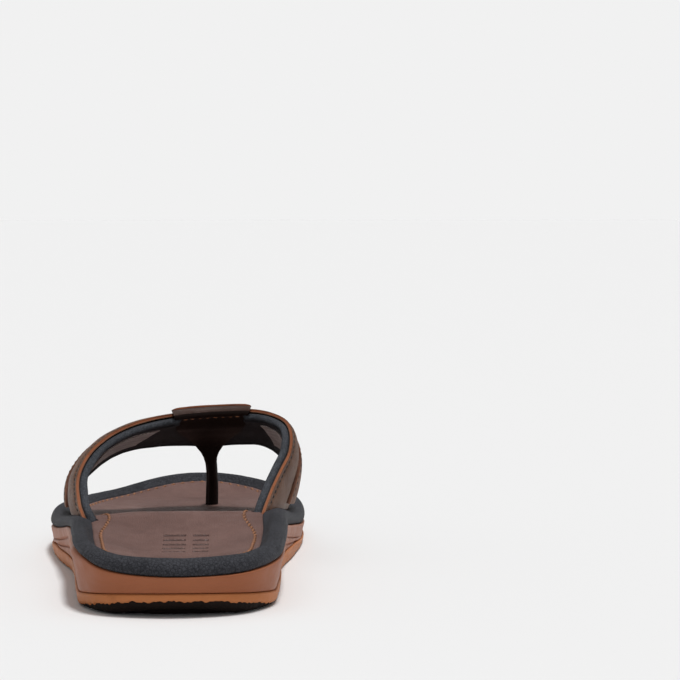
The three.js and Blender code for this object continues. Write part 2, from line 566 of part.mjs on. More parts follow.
put('band_lining', lining, COLOUR.rim);
put('band_foam', bandFoam, COLOUR.foam);
put('band_shell', shell, COLOUR.leather);
put('band_strip_lateral', stripLateral, COLOUR.dark);
put('band_strip_medial', stripMedial, COLOUR.dark);
for (const [name, solid] of Object.entries(threads)) put(name, solid, COLOUR.thread);
put('label_lateral', labelLateral, COLOUR.label);
put('label_medial', labelMedial, COLOUR.label);
put('saddle_wrap', saddle, COLOUR.dark);
put('toe_post', toePost, COLOUR.dark);
put('saddle_overlay', saddleOverlay, COLOUR.dark);
put('saddle_thread', saddleThread, COLOUR.thread);
put('post_core', postCore, COLOUR.web);

export default root;
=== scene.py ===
"""Left toe-post sandal: the visible surfaces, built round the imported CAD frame.

Shapes are laid out in millimetres from the heel's back (y = 0), with +X the
medial side, and moved into the part's frame by SHIFT.
"""
import math

import bmesh
import bpy
import numpy as np
from mathutils import Matrix, Vector, noise


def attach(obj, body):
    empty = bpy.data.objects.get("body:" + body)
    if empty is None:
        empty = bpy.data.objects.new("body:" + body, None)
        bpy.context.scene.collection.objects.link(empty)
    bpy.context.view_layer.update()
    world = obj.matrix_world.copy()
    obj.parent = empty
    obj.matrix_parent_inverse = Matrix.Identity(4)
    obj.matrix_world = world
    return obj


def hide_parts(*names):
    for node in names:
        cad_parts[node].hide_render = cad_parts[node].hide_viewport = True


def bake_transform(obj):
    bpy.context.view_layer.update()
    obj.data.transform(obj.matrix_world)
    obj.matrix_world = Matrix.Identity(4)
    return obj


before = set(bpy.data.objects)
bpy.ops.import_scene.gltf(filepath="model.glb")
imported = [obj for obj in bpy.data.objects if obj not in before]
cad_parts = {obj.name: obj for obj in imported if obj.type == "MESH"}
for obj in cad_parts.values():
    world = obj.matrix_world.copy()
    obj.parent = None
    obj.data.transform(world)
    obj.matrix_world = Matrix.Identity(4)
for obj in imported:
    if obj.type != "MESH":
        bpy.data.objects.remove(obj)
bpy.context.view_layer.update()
scene = bpy.context.scene

MM = 0.001
SHIFT = np.array([2.17, -144.006, 0.0])
HEEL, TOE = "heel_half", "toe_half"

# ---- layout
# the sole's plan outline, x and y, heel to toe on the medial side and back on the lateral
OUTLINE_MEDIAL = [[0, 0], [24, 7], [36.5, 26], [39.5, 50], [41, 80], [41.2, 105],
                  [43, 132], [46.5, 160], [50, 190], [51, 217], [47.8, 246], [38.6, 270]]
TOE_TIP = [15.5, 288]
OUTLINE_LATERAL = [[-9.5, 284.6], [-31.5, 266.5], [-46.4, 240], [-54.2, 208], [-55.2, 180],
                   [-51, 148], [-46, 118], [-43, 88], [-40.3, 52], [-36.8, 26], [-24.6, 7]]
# heights: y, medial side, lateral side
RIM_LOW = [[0, 14.8, 14.8], [5, 15.2, 15.9], [11, 15.9, 17.5], [18, 16.6, 19.4],
           [38, 18.5, 21.6], [75, 20, 21.6], [105, 19.3, 19.5], [150, 14, 13.4],
           [200, 8.9, 9.4], [240, 8.8, 9.2], [270, 11.2, 11.6], [288, 14.2, 14.2]]
RIM_CREST = [[0, 20.8, 20.8], [18, 21.9, 23], [38, 23.4, 24.7], [75, 25.3, 25.5], [105, 25.3, 23.6],
             [125, 23.6, 21.4], [150, 20, 18.8], [175, 17.8, 17.6], [200, 17.2, 17.2],
             [240, 16.8, 16.2], [265, 18.2, 16.6], [288, 20.7, 20.7]]
RIM_INNER = [[0, 19.6, 19.6], [18, 19.7, 20], [58, 20, 21], [80, 21.8, 22.2], [105, 23.8, 23],
             [122, 23, 21.4], [150, 18.4, 17.4], [175, 15.8, 15.6], [200, 15, 15],
             [240, 14.6, 14.3], [265, 15.7, 14.7], [288, 17.9, 17.9]]
# heights along y only
FOOTBED = [[34, 16.6], [60, 17.4], [85, 20.4], [110, 24], [130, 21.6], [155, 17],
           [180, 14.2], [205, 13.4], [235, 13.3], [250, 13.5]]
PARTING = [[0, 8.5], [15, 6.8], [35, 5.1], [75, 5], [150, 5.4], [190, 3.4],
           [240, 4.2], [270, 7.3], [288, 10.5]]
EDGE_Z = [[0, 5.3], [10, 3.6], [22, 1.6], [36, 0.4], [50, 0], [185, 0], [210, 0.3],
          [240, 1.6], [265, 4.4], [288, 7.8]]
GROUND = [[0, 4.4], [6, 2.6], [12.5, 0.1], [14, 0], [15, 0], [188, 0], [190, 0],
          [215, 0.3], [240, 1.5], [265, 4.1], [288, 7.2]]
# the band's rear and front edge, lateral end to medial end: x, y, z
REAR = [[-33, 87, 9], [-33.6, 89, 14.5], [-35.6, 93, 21.5], [-39, 103, 28.8],
        [-40, 120.5, 37.8], [-34.8, 142, 46.2], [-25, 158, 52], [-12, 171, 55.2],
        [2, 180, 56.6], [14, 182.5, 57.2], [26, 178, 57.8], [36, 168, 57.1],
        [42.8, 155, 53.4], [43, 141.5, 45], [37, 124.5, 34.6], [32, 109.5, 24.6],
        [30.4, 105, 16.5], [30, 104, 10]]
FRONT = [[-41.2, 163, 8], [-42, 164, 13], [-44.1, 167.5, 18.5], [-45.1, 174, 24.5],
         [-42.8, 183, 30], [-36, 194, 35.8], [-26, 202.5, 40.2], [-13, 210, 41.8],
         [0, 215, 41.6], [12, 216.5, 41.2], [23.5, 212.5, 42.2], [33.5, 203.5, 42.4],
         [40.5, 193.5, 39.2], [44.2, 182, 34], [45, 175, 27], [42.7, 169.5, 20],
         [38.4, 167.5, 14], [36.9, 166.5, 8]]
LAST = len(REAR) - 1  # a place along the band is a row, 0 to LAST
BULGE = 2.2  # how far the band's middle swells outwards
SHELL, PAD = 1.7, 3.6  # band leather outwards, padding inwards
SADDLE_AT = 8.83  # row of the saddle's centre
POST = (11.2, 227.0)  # where the toe post enters the footbed
POST_R = 2.8
COVER_EDGE, THREAD_INSET = 9.9, 12.3  # in from the outline
SEAM_SWING = 4.6  # extra inset of the footbed's seam past the band's ends
HEEL_LEDGE = 1.1  # how far the rim's foot stands in on the lateral heel
SOLE_STATIONS = 900


def ease(t):
    t = np.clip(t, 0, 1)
    return t * t * (3 - 2 * t)


def lerp(a, b, t):
    return a + (b - a) * t


def window(y, start, rise, end, fall):
    """Rises from 0 to 1 from start, and falls back to 0 from end."""
    return ease((y - start) / rise) * (1 - ease((y - end) / fall))


def hump(x, centre, width):
    return np.exp(-((x - centre) / width) ** 2)


def unit(v):
    return v / np.linalg.norm(v, axis=-1, keepdims=True)


def with_z(xy, z):
    return np.column_stack([xy, z])


def lengths(points):
    """Distance along a line of points, at each point."""
    return np.concatenate([[0], np.cumsum(np.linalg.norm(np.diff(points, axis=0), axis=1))])


def along(rows, y, column=1):
    """Hermite curve through rows of [y, value, ...]."""
    keys, values = np.array(rows, float)[:, [0, column]].T
    at, last = np.arange(len(keys)), len(keys) - 1
    before, after = np.maximum(at - 1, 0), np.minimum(at + 1, last)
    slope = (values[after] - values[before]) / (keys[after] - keys[before])
    y = np.clip(y, keys[0], keys[-1])
    i = np.clip(np.searchsorted(keys, y) - 1, 0, last - 1)
    span = keys[i + 1] - keys[i]
    t = (y - keys[i]) / span
    return ((2 * t**3 - 3 * t**2 + 1) * values[i] + (t**3 - 2 * t**2 + t) * span * slope[i]
            + (3 * t**2 - 2 * t**3) * values[i + 1] + (t**3 - t**2) * span * slope[i + 1])


def spline(points, closed=False):
    """Catmull-Rom curve; the returned function takes 0 to 1."""
    p = np.array(points, float)
    count = len(p)
    padded = np.concatenate([[2 * p[0] - p[1]], p, [2 * p[-1] - p[-2]]])

    def at(t):
        q = np.asarray(t, float) * (count if closed else count - 1)
        i = np.floor(q).astype(int)
        if closed:
            a, b, c, d = (p[(i + k) % count] for k in (-1, 0, 1, 2))
        else:
            i = np.clip(i, 0, count - 2)
            a, b, c, d = (padded[i + k] for k in range(4))
        w = (q - i).reshape(q.shape + (1,) * (p.ndim - 1))
        m, n = (c - a) / 2, (d - b) / 2
        return (2 * b - 2 * c + m + n) * w**3 + (3 * c - 3 * b - 2 * m - n) * w**2 + m * w + b
    return at


outline = spline(OUTLINE_MEDIAL + [TOE_TIP] + OUTLINE_LATERAL, closed=True)
TOE_AT = len(OUTLINE_MEDIAL) / (len(OUTLINE_MEDIAL) + 1 + len(OUTLINE_LATERAL))


def heel_tuck(y):
    """The sole draws in towards the ground round the heel, and flares at the forefoot."""
    return lerp(1.3, -0.8, ease((y - 105) / 50))


class Ring:
    """n stations round the sole, heel back to toe on the medial side and back."""

    def __init__(self, n):
        self.n, half = n, n // 2
        parts = []
        for a, b in ((0, TOE_AT), (TOE_AT, 1)):
            fine = outline(np.linspace(a, b, 2001) % 1)
            run = lengths(fine)
            want = run[-1] * np.arange(half) / half
            parts.append(np.stack([np.interp(want, run, fine[:, k]) for k in (0, 1)], 1))
        self.p = np.vstack(parts)
        self.run = lengths(self.p)
        step = unit(np.roll(self.p, -1, 0) - np.roll(self.p, 1, 0))
        self.inward = np.stack([-step[:, 1], step[:, 0]], 1)
        self.y = self.p[:, 1]
        medial = np.arange(n) <= half
        self.low, self.crest, self.inner = (
            np.where(medial, along(rows, self.y, 1), along(rows, self.y, 2))
            for rows in (RIM_LOW, RIM_CREST, RIM_INNER))
        self.low_in = np.minimum(self.low - 0.5, self.inner - 3)
        self.ledge = np.where(medial, 0, HEEL_LEDGE * window(self.y, 12, 22, 84, 24))
        self.seam = THREAD_INSET + SEAM_SWING * window(self.y, 64, 42, 172, 24)
        # the sole's middle line, beside each station
        middle = (self.p + self.p[-np.arange(n)]) / 2
        y = np.clip(middle[:, 1], 36, 246)
        self.spine = np.stack([np.interp(y, *middle[:half + 1, ::-1].T), y], 1)

    def inset(self, d):
        return self.p + self.inward * np.broadcast_to(d, self.n)[:, None]


EDGE_RING = Ring(192)


def cover_z(xy):
    """Top of the footbed at plan points: from the rim's inner edge down to FOOTBED."""
    xy = np.asarray(xy, float)
    a, edge = EDGE_RING.p, EDGE_RING.inner - 0.3
    d, edge_next = np.roll(a, -1, 0) - a, np.roll(edge, -1)
    out = []
    flat = xy.reshape(-1, 2)
    for part in np.array_split(flat, len(flat) // 4000 + 1):
        q = part[:, None] - a
        t = np.clip((q * d).sum(2) / (d * d).sum(1), 0, 1)
        gap = np.linalg.norm(q - d * t[..., None], axis=2)
        best = gap.argmin(1)
        rows = np.arange(len(best))
        rim = lerp(edge[best], edge_next[best], t[rows, best])
        out.append(lerp(rim, along(FOOTBED, part[:, 1]), ease((gap[rows, best] - COVER_EDGE) / 22)))
    return np.concatenate(out).reshape(xy.shape[:-1])


def ripple(points, size, seed=0.0):
    """Smooth noise, -1 to 1, at points in mm; size is its grain in mm."""
    flat = np.asarray(points, float).reshape(-1, 3) / size + seed
    return np.array([noise.noise(Vector(p)) for p in flat]).reshape(np.shape(points)[:-1])


# ---- meshes
def add_object(name, data):
    obj = bpy.data.objects.new(name, data)
    scene.collection.objects.link(obj)
    return obj


def build(name, verts, faces, materials, face_material=None, sharp=42, merge=1e-6):
    """A mesh object from layout-millimetre points."""
    mesh = bpy.data.meshes.new(name)
    mesh.from_pydata(((np.asarray(verts, float) + SHIFT) * MM).tolist(), [], faces)
    for m in materials:
        mesh.materials.append(m)
    if face_material is not None:
        mesh.polygons.foreach_set("material_index", np.asarray(face_material, np.int32))
    bm = bmesh.new()
    bm.from_mesh(mesh)
    bmesh.ops.remove_doubles(bm, verts=bm.verts, dist=merge)
    bmesh.ops.dissolve_degenerate(bm, edges=bm.edges, dist=1e-7)
    bmesh.ops.recalc_face_normals(bm, faces=bm.faces)
    limit = math.radians(sharp)
    for f in bm.faces:
        f.smooth = True
    for e in bm.edges:
        if len(e.link_faces) == 2 and e.calc_face_angle(0) > limit:
            e.smooth = False
    bm.to_mesh(mesh)
    bm.free()
    return add_object(name, mesh)


def quads(r_count, c_count, ring_loop=False):
    """Ring and column of each of a skin's faces, and its four vertices."""
    r = np.arange(r_count if ring_loop else r_count - 1)
    rr, cc = np.meshgrid(r, np.arange(c_count), indexing="ij")
    r2, c2 = (rr + 1) % r_count, (cc + 1) % c_count
    corners = [rr * c_count + cc, rr * c_count + c2, r2 * c_count + c2, r2 * c_count + cc]
    return rr, cc, np.stack(corners, 2).reshape(-1, 4)


def loft(name, rings, materials, pick=None, ring_loop=False, **kw):
    """A skin over rings, an array (rings, points, 3). pick(r, c) gives material indices."""
    rings = np.asarray(rings, float)
    rr, cc, faces = quads(*rings.shape[:2], ring_loop=ring_loop)
    chosen = None if pick is None else np.broadcast_to(pick(rr, cc), rr.shape).reshape(-1)
    return build(name, rings.reshape(-1, 3), faces.tolist(), materials, chosen, **kw)


def capped(rings, opposite=None):
    """The rings with each end drawn to a point, or midway between opposite places."""
    ends = [np.broadcast_to(end.mean(0), end.shape) if opposite is None else (end + end[opposite]) / 2
            for end in (rings[0], rings[-1])]
    return np.array([ends[0], *rings, ends[1]])


def stitches(name, line, up, pitch, length, radius, material, lift=0.1, slant=0.0):
    """Separate thread stitches along a line of points, as one mesh."""
    up = np.broadcast_to(up, line.shape)
    run = lengths(line)
    sides, cuts = 7, 7
    around = 2 * math.pi * np.arange(sides) / sides
    arch = np.sin(np.linspace(0, math.pi, cuts))
    size = radius * (0.35 + 0.65 * arch ** 0.5)
    skin = quads(cuts, sides)[2]
    ends = [np.arange(sides)[::-1], np.arange(sides) + (cuts - 1) * sides]
    verts, faces = [], []
    count = int(run[-1] / pitch)
    start = (run[-1] - count * pitch) / 2
    for k in range(count):
        s = start + k * pitch + np.linspace(0, length, cuts)
        p, n = (np.stack([np.interp(s, run, rows[:, a]) for a in range(3)], 1) for rows in (line, up))
        n = unit(n)
        side = np.cross(unit(np.gradient(p, axis=0)), n)
        # a slanted row leans the other way on the second half of the line
        lean = (slant if s[0] < run[-1] / 2 else -slant) * (1 + 0.25 * math.sin(k * 1.7))
        p = p + side * np.linspace(-lean, lean, cuts)[:, None]
        p = p + n * (lift + radius * (arch * 0.9 - 0.9))[:, None]
        wide = side[:, None] * np.cos(around)[:, None] * 1.15
        tall = n[:, None] * np.sin(around)[:, None]
        faces += (skin + len(verts)).tolist() + [(end + len(verts)).tolist() for end in ends]
        verts.extend((p[:, None] + (wide + tall) * size[:, None, None]).reshape(-1, 3))
    return build(name, verts, faces, [material], sharp=80, merge=1e-9)


# ---- materials
class Shader:
    """A small wrapper that builds one node material."""

    def __init__(self, name):
        self.mat = bpy.data.materials.new(name)
        self.mat.use_nodes = True
        self.nodes, self.links = self.mat.node_tree.nodes, self.mat.node_tree.links
        self.bsdf = self.nodes["Principled BSDF"]
        self.place = self.node("ShaderNodeTexCoord").outputs["Object"]

    def feed(self, socket, value):
        if isinstance(value, bpy.types.NodeSocket):
            self.links.new(value, socket)
        elif value is not None:
            socket.default_value = (*value, 1) if socket.type == "RGBA" else value

    def node(self, kind, sockets=None, **props):
        n = self.nodes.new(kind)
        for k, v in props.items():
            setattr(n, k, v)
        for k, v in (sockets or {}).items():
            self.feed(n.inputs[k], v)
        return n

    def stretch(self, scale):
        return self.node("ShaderNodeMapping", {"Vector": self.place, "Scale": scale}).outputs["Vector"]

    def noise(self, per_m, detail=4.0, rough=0.55, vector=None, distort=0.0):
        sockets = {"Vector": vector or self.place, "Scale": per_m, "Detail": detail,
                   "Roughness": rough, "Distortion": distort}
        return self.node("ShaderNodeTexNoise", sockets).outputs["Fac"]

    def cells(self, per_m, feature="F1", out="Distance"):
        sockets = {"Vector": self.place, "Scale": per_m}
        return self.node("ShaderNodeTexVoronoi", sockets, feature=feature).outputs[out]

    def wave(self, per_m, axis="X"):
        sockets = {"Vector": self.place, "Scale": per_m, "Detail Scale": 2.0}
        return self.node("ShaderNodeTexWave", sockets, bands_direction=axis).outputs["Fac"]

    def math(self, op, a, b):
        return self.node("ShaderNodeMath", {0: a, 1: b}, operation=op).outputs[0]

    def layers(self, first, *more):
        """The sum of values, each given with its share."""
        total = self.math("MULTIPLY", *first)
        for value, share in more:
            total = self.math("ADD", total, self.math("MULTIPLY", value, share))
        return total

    def spread(self, value, low, high, to_low=0.0, to_high=1.0):
        sockets = {"Value": value, "From Min": low, "From Max": high, "To Min": to_low, "To Max": to_high}
        return self.node("ShaderNodeMapRange", sockets).outputs["Result"]

    def blend(self, amount, a, b):
        return self.node("ShaderNodeMix", {"Factor": amount, 6: a, 7: b}, data_type="RGBA").outputs[2]

    def bump(self, height, depth):
        sockets = {"Strength": 1.0, "Distance": depth, "Height": height}
        return self.node("ShaderNodeBump", sockets).outputs["Normal"]

    def done(self, colour, rough, normal=None, **extra):
        looks = {"Base Color": colour, "Roughness": rough, "Normal": normal}
        looks.update((k.replace("_", " "), v) for k, v in extra.items())
        for k, v in looks.items():
            self.feed(self.bsdf.inputs[k], v)
        return self.mat


def shade(colour, share):
    return tuple(c * share for c in colour)


def leather(name, dark, light, rough=0.48, grain=900, depth=0.00022, crease=0.5, sheen=0.0, spec=0.5):
    s = Shader(name)
    pores = s.cells(grain, "DISTANCE_TO_EDGE")
    fine = s.noise(grain * 3.2, 6, 0.6)
    broad = s.noise(38, 5, 0.6, distort=0.4)
    lines = s.noise(150, 8, 0.7, vector=s.stretch((1, 0.35, 1)), distort=1.2)
    height = s.layers((s.spread(pores, 0.0, 0.22), 0.55), (fine, 0.3), (lines, crease))
    tone = s.layers((broad, 0.75), (lines, 0.35))
    colour = s.blend(s.spread(tone, 0.36, 0.76), dark, light)
    colour = s.blend(s.spread(pores, 0.0, 0.06, 0.35, 0.0), colour, shade(dark, 0.35))
    roughness = s.spread(s.noise(60, 4), 0.3, 0.7, rough - 0.07, rough + 0.1)
    return s.done(colour, roughness, s.bump(height, depth), Specular_IOR_Level=spec,
                  Sheen_Weight=sheen, Sheen_Roughness=0.5)


def microfibre(name, dark, light, rough=0.68, grain=1300, depth=0.0003):
    s = Shader(name)
    cell = s.cells(grain)
    edge = s.cells(grain * 0.62, "DISTANCE_TO_EDGE")
    fuzz = s.noise(grain * 3, 5, 0.65)
    height = s.layers((cell, -0.6), (s.spread(edge, 0, 0.3), 0.5), (fuzz, 0.5))
    speckle = s.spread(s.cells(grain * 0.8, out="Color"), 0.0, 1.0)
    tone = s.layers((fuzz, 0.4), (s.noise(45), 0.4), (speckle, 0.25))
    colour = s.blend(s.spread(tone, 0.36, 0.7), dark, light)
    colour = s.blend(s.spread(edge, 0.0, 0.1, 0.8, 0.0), colour, shade(dark, 0.35))
    return s.done(colour, s.spread(fuzz, 0.3, 0.7, rough - 0.12, rough + 0.1), s.bump(height, depth),
                  Specular_IOR_Level=0.14, Sheen_Weight=0.03, Sheen_Roughness=0.4)


def moulded(name, dark, light, rough=0.5, depth=0.00008, speck=0.25, spec=0.5):
    s = Shader(name)
    fine = s.noise(900, 6, 0.6)
    dirt = s.noise(160, 6, 0.7)
    colour = s.blend(s.spread(s.noise(22, 4, 0.6), 0.3, 0.7), dark, light)
    colour = s.blend(s.spread(dirt, 0.56, 0.75, 0.0, speck), colour, shade(dark, 0.45))
    return s.done(colour, s.spread(dirt, 0.3, 0.7, rough - 0.05, rough + 0.12),
                  s.bump(s.layers((fine, 0.6), (dirt, 0.6)), depth), Specular_IOR_Level=spec)


def thread(name, colour):
    s = Shader(name)
    tint = s.blend(s.spread(s.noise(500, 3), 0.3, 0.7), shade(colour, 0.6), colour)
    return s.done(tint, 0.6, s.bump(s.wave(900, "DIAGONAL"), 0.0001))


def woven(name, dark, light):
    s = Shader(name)
    cloth = s.math("MULTIPLY", s.wave(260, "Y"), s.wave(210, "Z"))
    worn = s.spread(s.noise(120), 0.35, 0.75, 0.0, 0.35)
    colour = s.blend(worn, s.blend(cloth, dark, light), shade(dark, 0.5))
    return s.done(colour, 0.85, s.bump(cloth, 0.00015), Sheen_Weight=0.2)


def brushed(name, colour):
    s = Shader(name)
    streak = s.noise(900, vector=s.stretch((0.05, 1, 1)))
    tint = s.blend(s.spread(streak, 0.3, 0.7), shade(colour, 0.75), colour)
    return s.done(tint, s.spread(streak, 0.3, 0.7, 0.25, 0.42), s.bump(streak, 0.00003), Metallic=1.0)


RIM_FIBRE = microfibre("rim_microfibre", (0.02, 0.0205, 0.025), (0.056, 0.057, 0.067))
# the lining's microfibre in two copies: darker for its face inside the band, painted shade, and lighter for
# its rear roll, painted highlight
LINING_FIBRE_SHADED = microfibre("lining_microfibre_painted_shade", (0.009, 0.009, 0.012), (0.027, 0.027, 0.033),
                          0.66, 1500, 0.0002)
ROLL_FIBRE_LIT = microfibre("lining_roll_painted_highlight", (0.026, 0.028, 0.034), (0.07, 0.076, 0.088),
                        0.66, 1500, 0.0002)
COVER_LEATHER = leather("footbed_leather", (0.122, 0.062, 0.051), (0.208, 0.117, 0.099),
                        0.5, 1100, 0.0003, 0.9, sheen=0.05, spec=0.24)
# darker cover leather for the pressed mark: a burnished tone with painted shade of the hollow
PRESSED_SHADED_LEATHER = leather("pressed_leather_burnished_and_shade", (0.045, 0.02, 0.016), (0.075, 0.036, 0.029),
                          0.42, 1100, 0.0001, 0.4, spec=0.22)
BAND_LEATHER = leather("band_leather", (0.07, 0.03, 0.016), (0.19, 0.1, 0.062),
                       0.46, 1000, 0.0002, 0.8, spec=0.1)
OVERLAY_LEATHER = leather("overlay_leather", (0.08, 0.032, 0.016), (0.22, 0.105, 0.06),
                          0.48, 1000, 0.0002, 0.8, spec=0.1)
STRIP_LEATHER = leather("dark_edge_leather", (0.06, 0.019, 0.009), (0.15, 0.05, 0.022),
                        0.45, 1000, 0.0002, 0.8, spec=0.25)
SADDLE_BROWN = leather("saddle_brown_leather", (0.03, 0.013, 0.0085), (0.085, 0.042, 0.03),
                       0.42, 1400, 0.00014, 0.9, spec=0.25)
# the saddle leather again, painted near-black: painted shade of the saddle's inside and post
SADDLE_SHADED_LEATHER = leather("saddle_leather", (0.0065, 0.0026, 0.0018), (0.0155, 0.0066, 0.0046),
                         0.5, 1500, 0.00012, 0.7, spec=0.12)
RAW_EDGE = moulded("raw_leather_edge", (0.14, 0.04, 0.015), (0.3, 0.1, 0.04), 0.6, 0.0002, 0.7, 0.2)
MIDSOLE_SKIN = moulded("midsole_foam", (0.285, 0.091, 0.039), (0.335, 0.114, 0.051),
                       0.42, 0.00003, 0.06, 0.16)
OUTSOLE_RUBBER = moulded("outsole_rubber", (0.4, 0.138, 0.046), (0.52, 0.19, 0.068),
                         0.5, 0.0001, 0.3, 0.16)
# near-black rubber for the sole's underside and bevel: painted shade, as the underside is the same tan
# rubber
SHADED_TREAD_RUBBER = moulded("tread_rubber_painted_shade", (0.006, 0.003, 0.002), (0.012, 0.006, 0.004),
                       0.7, 0.0002, 0.5, 0.15)
TAN_THREAD = thread("tan_thread", (0.37, 0.16, 0.075))
DARK_THREAD = thread("dark_thread", (0.011, 0.005, 0.004))
BRUSHED_STEEL = brushed("brushed_steel", (0.42, 0.43, 0.45))
WEBBING = woven("strap_webbing", (0.02, 0.02, 0.022), (0.05, 0.05, 0.055))
PLAIN_FOAM = moulded("heel_cushion_foam", (0.42, 0.4, 0.36), (0.52, 0.5, 0.45), 0.8, 0.0003, 0.2, 0.2)
LABEL_CLOTH = woven("label_cloth", (0.36, 0.28, 0.265), (0.62, 0.52, 0.5))


def sole_piece(obj, slot_name, *nodes):
    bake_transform(obj)
    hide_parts(*nodes)


# ---- outsole
TREAD_PITCH, BAR_HALF, GROOVE_DEPTH = 14, 5.2, 1.5
UNDER_INSET = 9  # the tread starts this far in from the outline


def make_outsole():
    ring = Ring(SOLE_STATIONS)
    lug, coarse = (np.array([noise.noise(Vector((a / size, seed, 0))) for a in ring.run])
                   for size, seed in ((2.1, 3.1), (7.0, 9.4)))
    lug = np.sign(lug) * np.abs(lug) ** 0.6 * 0.5
    part = along(PARTING, ring.y)
    bottom_edge = np.maximum(along(EDGE_Z, ring.y) + 0.65 + lug * 0.8 + coarse * 0.4, 0)
    tuck = heel_tuck(ring.y)

    def at(d, z):
        return with_z(ring.inset(d + tuck), np.maximum(z, 0))

    def under(s):
        xy = lerp(ring.inset(UNDER_INSET), ring.spine, s)
        bar = np.abs((xy[:, 1] + 2.5 * np.cos(xy[:, 0] / 7) - 26) % TREAD_PITCH - TREAD_PITCH / 2)
        groove = ease((bar - BAR_HALF) / 0.8) * GROOVE_DEPTH
        return with_z(xy, np.maximum(along(GROUND, xy[:, 1]), 0) + groove)

    # top, side wall, ragged lower edge, bevel and tread; the bevel and tread get near-black rubber, painted
    # shade of the tan underside
    rings = [with_z(ring.spine, along(PARTING, ring.spine[:, 1]))]
    rings += [at(UNDER_INSET, part), at(2.4, part), at(1.75, part - 0.12), at(1.5, part - 0.5)]
    for k in (0.25, 0.5, 0.75, 0.92):
        d = 1.5 + 0.5 * k ** 2 + lug * 0.25 * max(0, k - 0.4)
        rings.append(at(d, lerp(part - 0.5, bottom_edge, k)))
    rings.append(at(2.2, bottom_edge))
    last_tan = len(rings) - 1
    rings.append(at(2.7, bottom_edge - 0.25 + 0.3 * lug))
    for d, share in ((3.4, 0.55), (4.6, 0.85), (6.2, 0.97)):
        bevel = np.maximum(lerp(bottom_edge - 0.3, along(GROUND, ring.inset(d)[:, 1]), share), 0)
        rings.append(at(d, bevel + 0.25 * lug * (1 - share)))
    rings += [under(s) for s in np.linspace(0, 1, 40)]
    obj = loft("rubber_outsole", rings, [OUTSOLE_RUBBER, SHADED_TREAD_RUBBER],
               pick=lambda r, c: (r > last_tan).astype(int), sharp=35)
    sole_piece(obj, "outsole_rubber", "outsole_heel", "outsole_toe")


# ---- midsole
# inset of the side wall at each level, 0 at the parting line to 1 at the rim
WALL = ((0.0, 2.3), (0.03, 2.0), (0.1, 1.9), (0.3, 1.7), (0.5, 1.35), (0.7, 0.85),
        (0.86, 0.5), (0.94, 0.42), (0.985, 0.65), (1.0, 1.2))
# shallow lines in the wall: first level, rise, and where they start and end
MOULDED_LINES = ((0.08, 0.34, 186, 262), (0.08, 0.6, 200, 272),
                 (0.68, -0.5, 104, 184), (0.38, -0.38, 100, 176))
LINE_WIDTH, LINE_DEPTH = 0.034, 0.75


def make_midsole():
    ring = Ring(SOLE_STATIONS)
    part, top = along(PARTING, ring.y) + 0.12, ring.low - 0.15
    spine_part = along(PARTING, ring.spine[:, 1])
    rings = [with_z(ring.spine, spine_part + 0.25)]
    rings += [with_z(ring.inset(d), part) for d in (9, 4.1)]
    for level in np.linspace(0, 1, 40):
        dent = np.zeros(ring.n)
        for first, rise, start, end in MOULDED_LINES:
            at = first + rise * ease((ring.y - start) / (end - start))
            dent += hump(level, at, LINE_WIDTH) * window(ring.y, start, 8, end - 10, 10) * LINE_DEPTH
        wall = np.interp(level, *zip(*WALL)) + dent + heel_tuck(ring.y) * (1 - level)
        shoulder = ring.ledge * ease((level - 0.86) / 0.14)
        rings.append(with_z(ring.inset(wall + shoulder), lerp(part, top, level)))
    rings += [with_z(ring.inset(9.6), ring.low_in - 0.3), with_z(ring.spine, spine_part + 4.0)]
    obj = loft("moulded_midsole", rings, [MIDSOLE_SKIN], sharp=50)
    sole_piece(obj, "midsole_foam", "midsole_heel", "midsole_toe")


# ---- rim
def make_rim():
    ring = Ring(1100)
    low, crest, inner, ledge = ring.low, ring.crest, ring.inner, ring.ledge
    rise = crest - low
    # section of the roll, from its foot over the crest to the footbed: inset and height
    knots = [(1.5 + ledge, low), (0.62 + ledge, low + rise * 0.12), (0.28 + ledge, low + rise * 0.34),
             (0.5 + ledge, low + rise * 0.56), (1.3 + ledge * 0.7, low + rise * 0.79),
             (2.8 + ledge * 0.4, crest - rise * 0.05), (4.7, crest + 0.1), (6.4, crest - 0.3),
             (8.0, lerp(crest, inner, 0.66)), (9.1, inner + 0.12), (9.65, inner - 0.55),
             (9.55, inner - 1.3), (9.0, inner - 1.9)]
    section = spline([with_z(np.broadcast_to(d, ring.n), z) for d, z in knots])(np.linspace(0, 1, 34))
    rings = np.array([with_z(ring.inset(cut[:, 0]), cut[:, 1]) for cut in section])
    # soft wrap: gentle swells and small puckers across the roll
    swell = ripple(rings, 16.0) * 0.16 + ripple(rings * [1, 1, 0.5], 5.5, 7.0) * 0.09
    weight = np.sin(np.linspace(0, math.pi, len(rings)))[:, None] ** 0.5
    out = unit(rings - with_z(ring.inset(5.2), (low + inner) / 2))
    rings = rings + out * (swell * weight)[..., None]
    closing = with_z(ring.inset(8.8), ring.low_in + 0.2)
    foot = with_z(ring.inset(1.9 + ledge), low + 0.02)
    obj = loft("padded_rim", [*rings, closing, foot], [RIM_FIBRE], ring_loop=True, sharp=70)
    sole_piece(obj, "rim_microfibre", "rim_binding_heel", "rim_binding_toe",
               "rim_core_heel", "rim_core_toe")


# ---- footbed top
MARK_CENTRE, MARK_LENGTH, MARK_ROWS = (3.0, 64.0), 33.0, 5
MARK_DEPTH, MARK_DARK = 0.55, 0.25  # the cover is painted darker where it is pressed in that far: a burnished tone with painted shade of the hollow
MARK_COLUMNS = ((-4.8, 3.9), (5.0, 2.6))  # centre and half width of the bars
MARK_FINE = (13.5, 24.0)  # half size of the area with a finer mesh
# inset from the seam, and height: the cover puckers beside its thread
SEAM_GROOVE = ((-1.5, 0.02), (-1.0, 0.06), (-0.6, -0.12), (-0.3, -0.3), (0, -0.38),
               (0.3, -0.3), (0.6, -0.12), (1.0, 0.06), (1.5, 0.02))


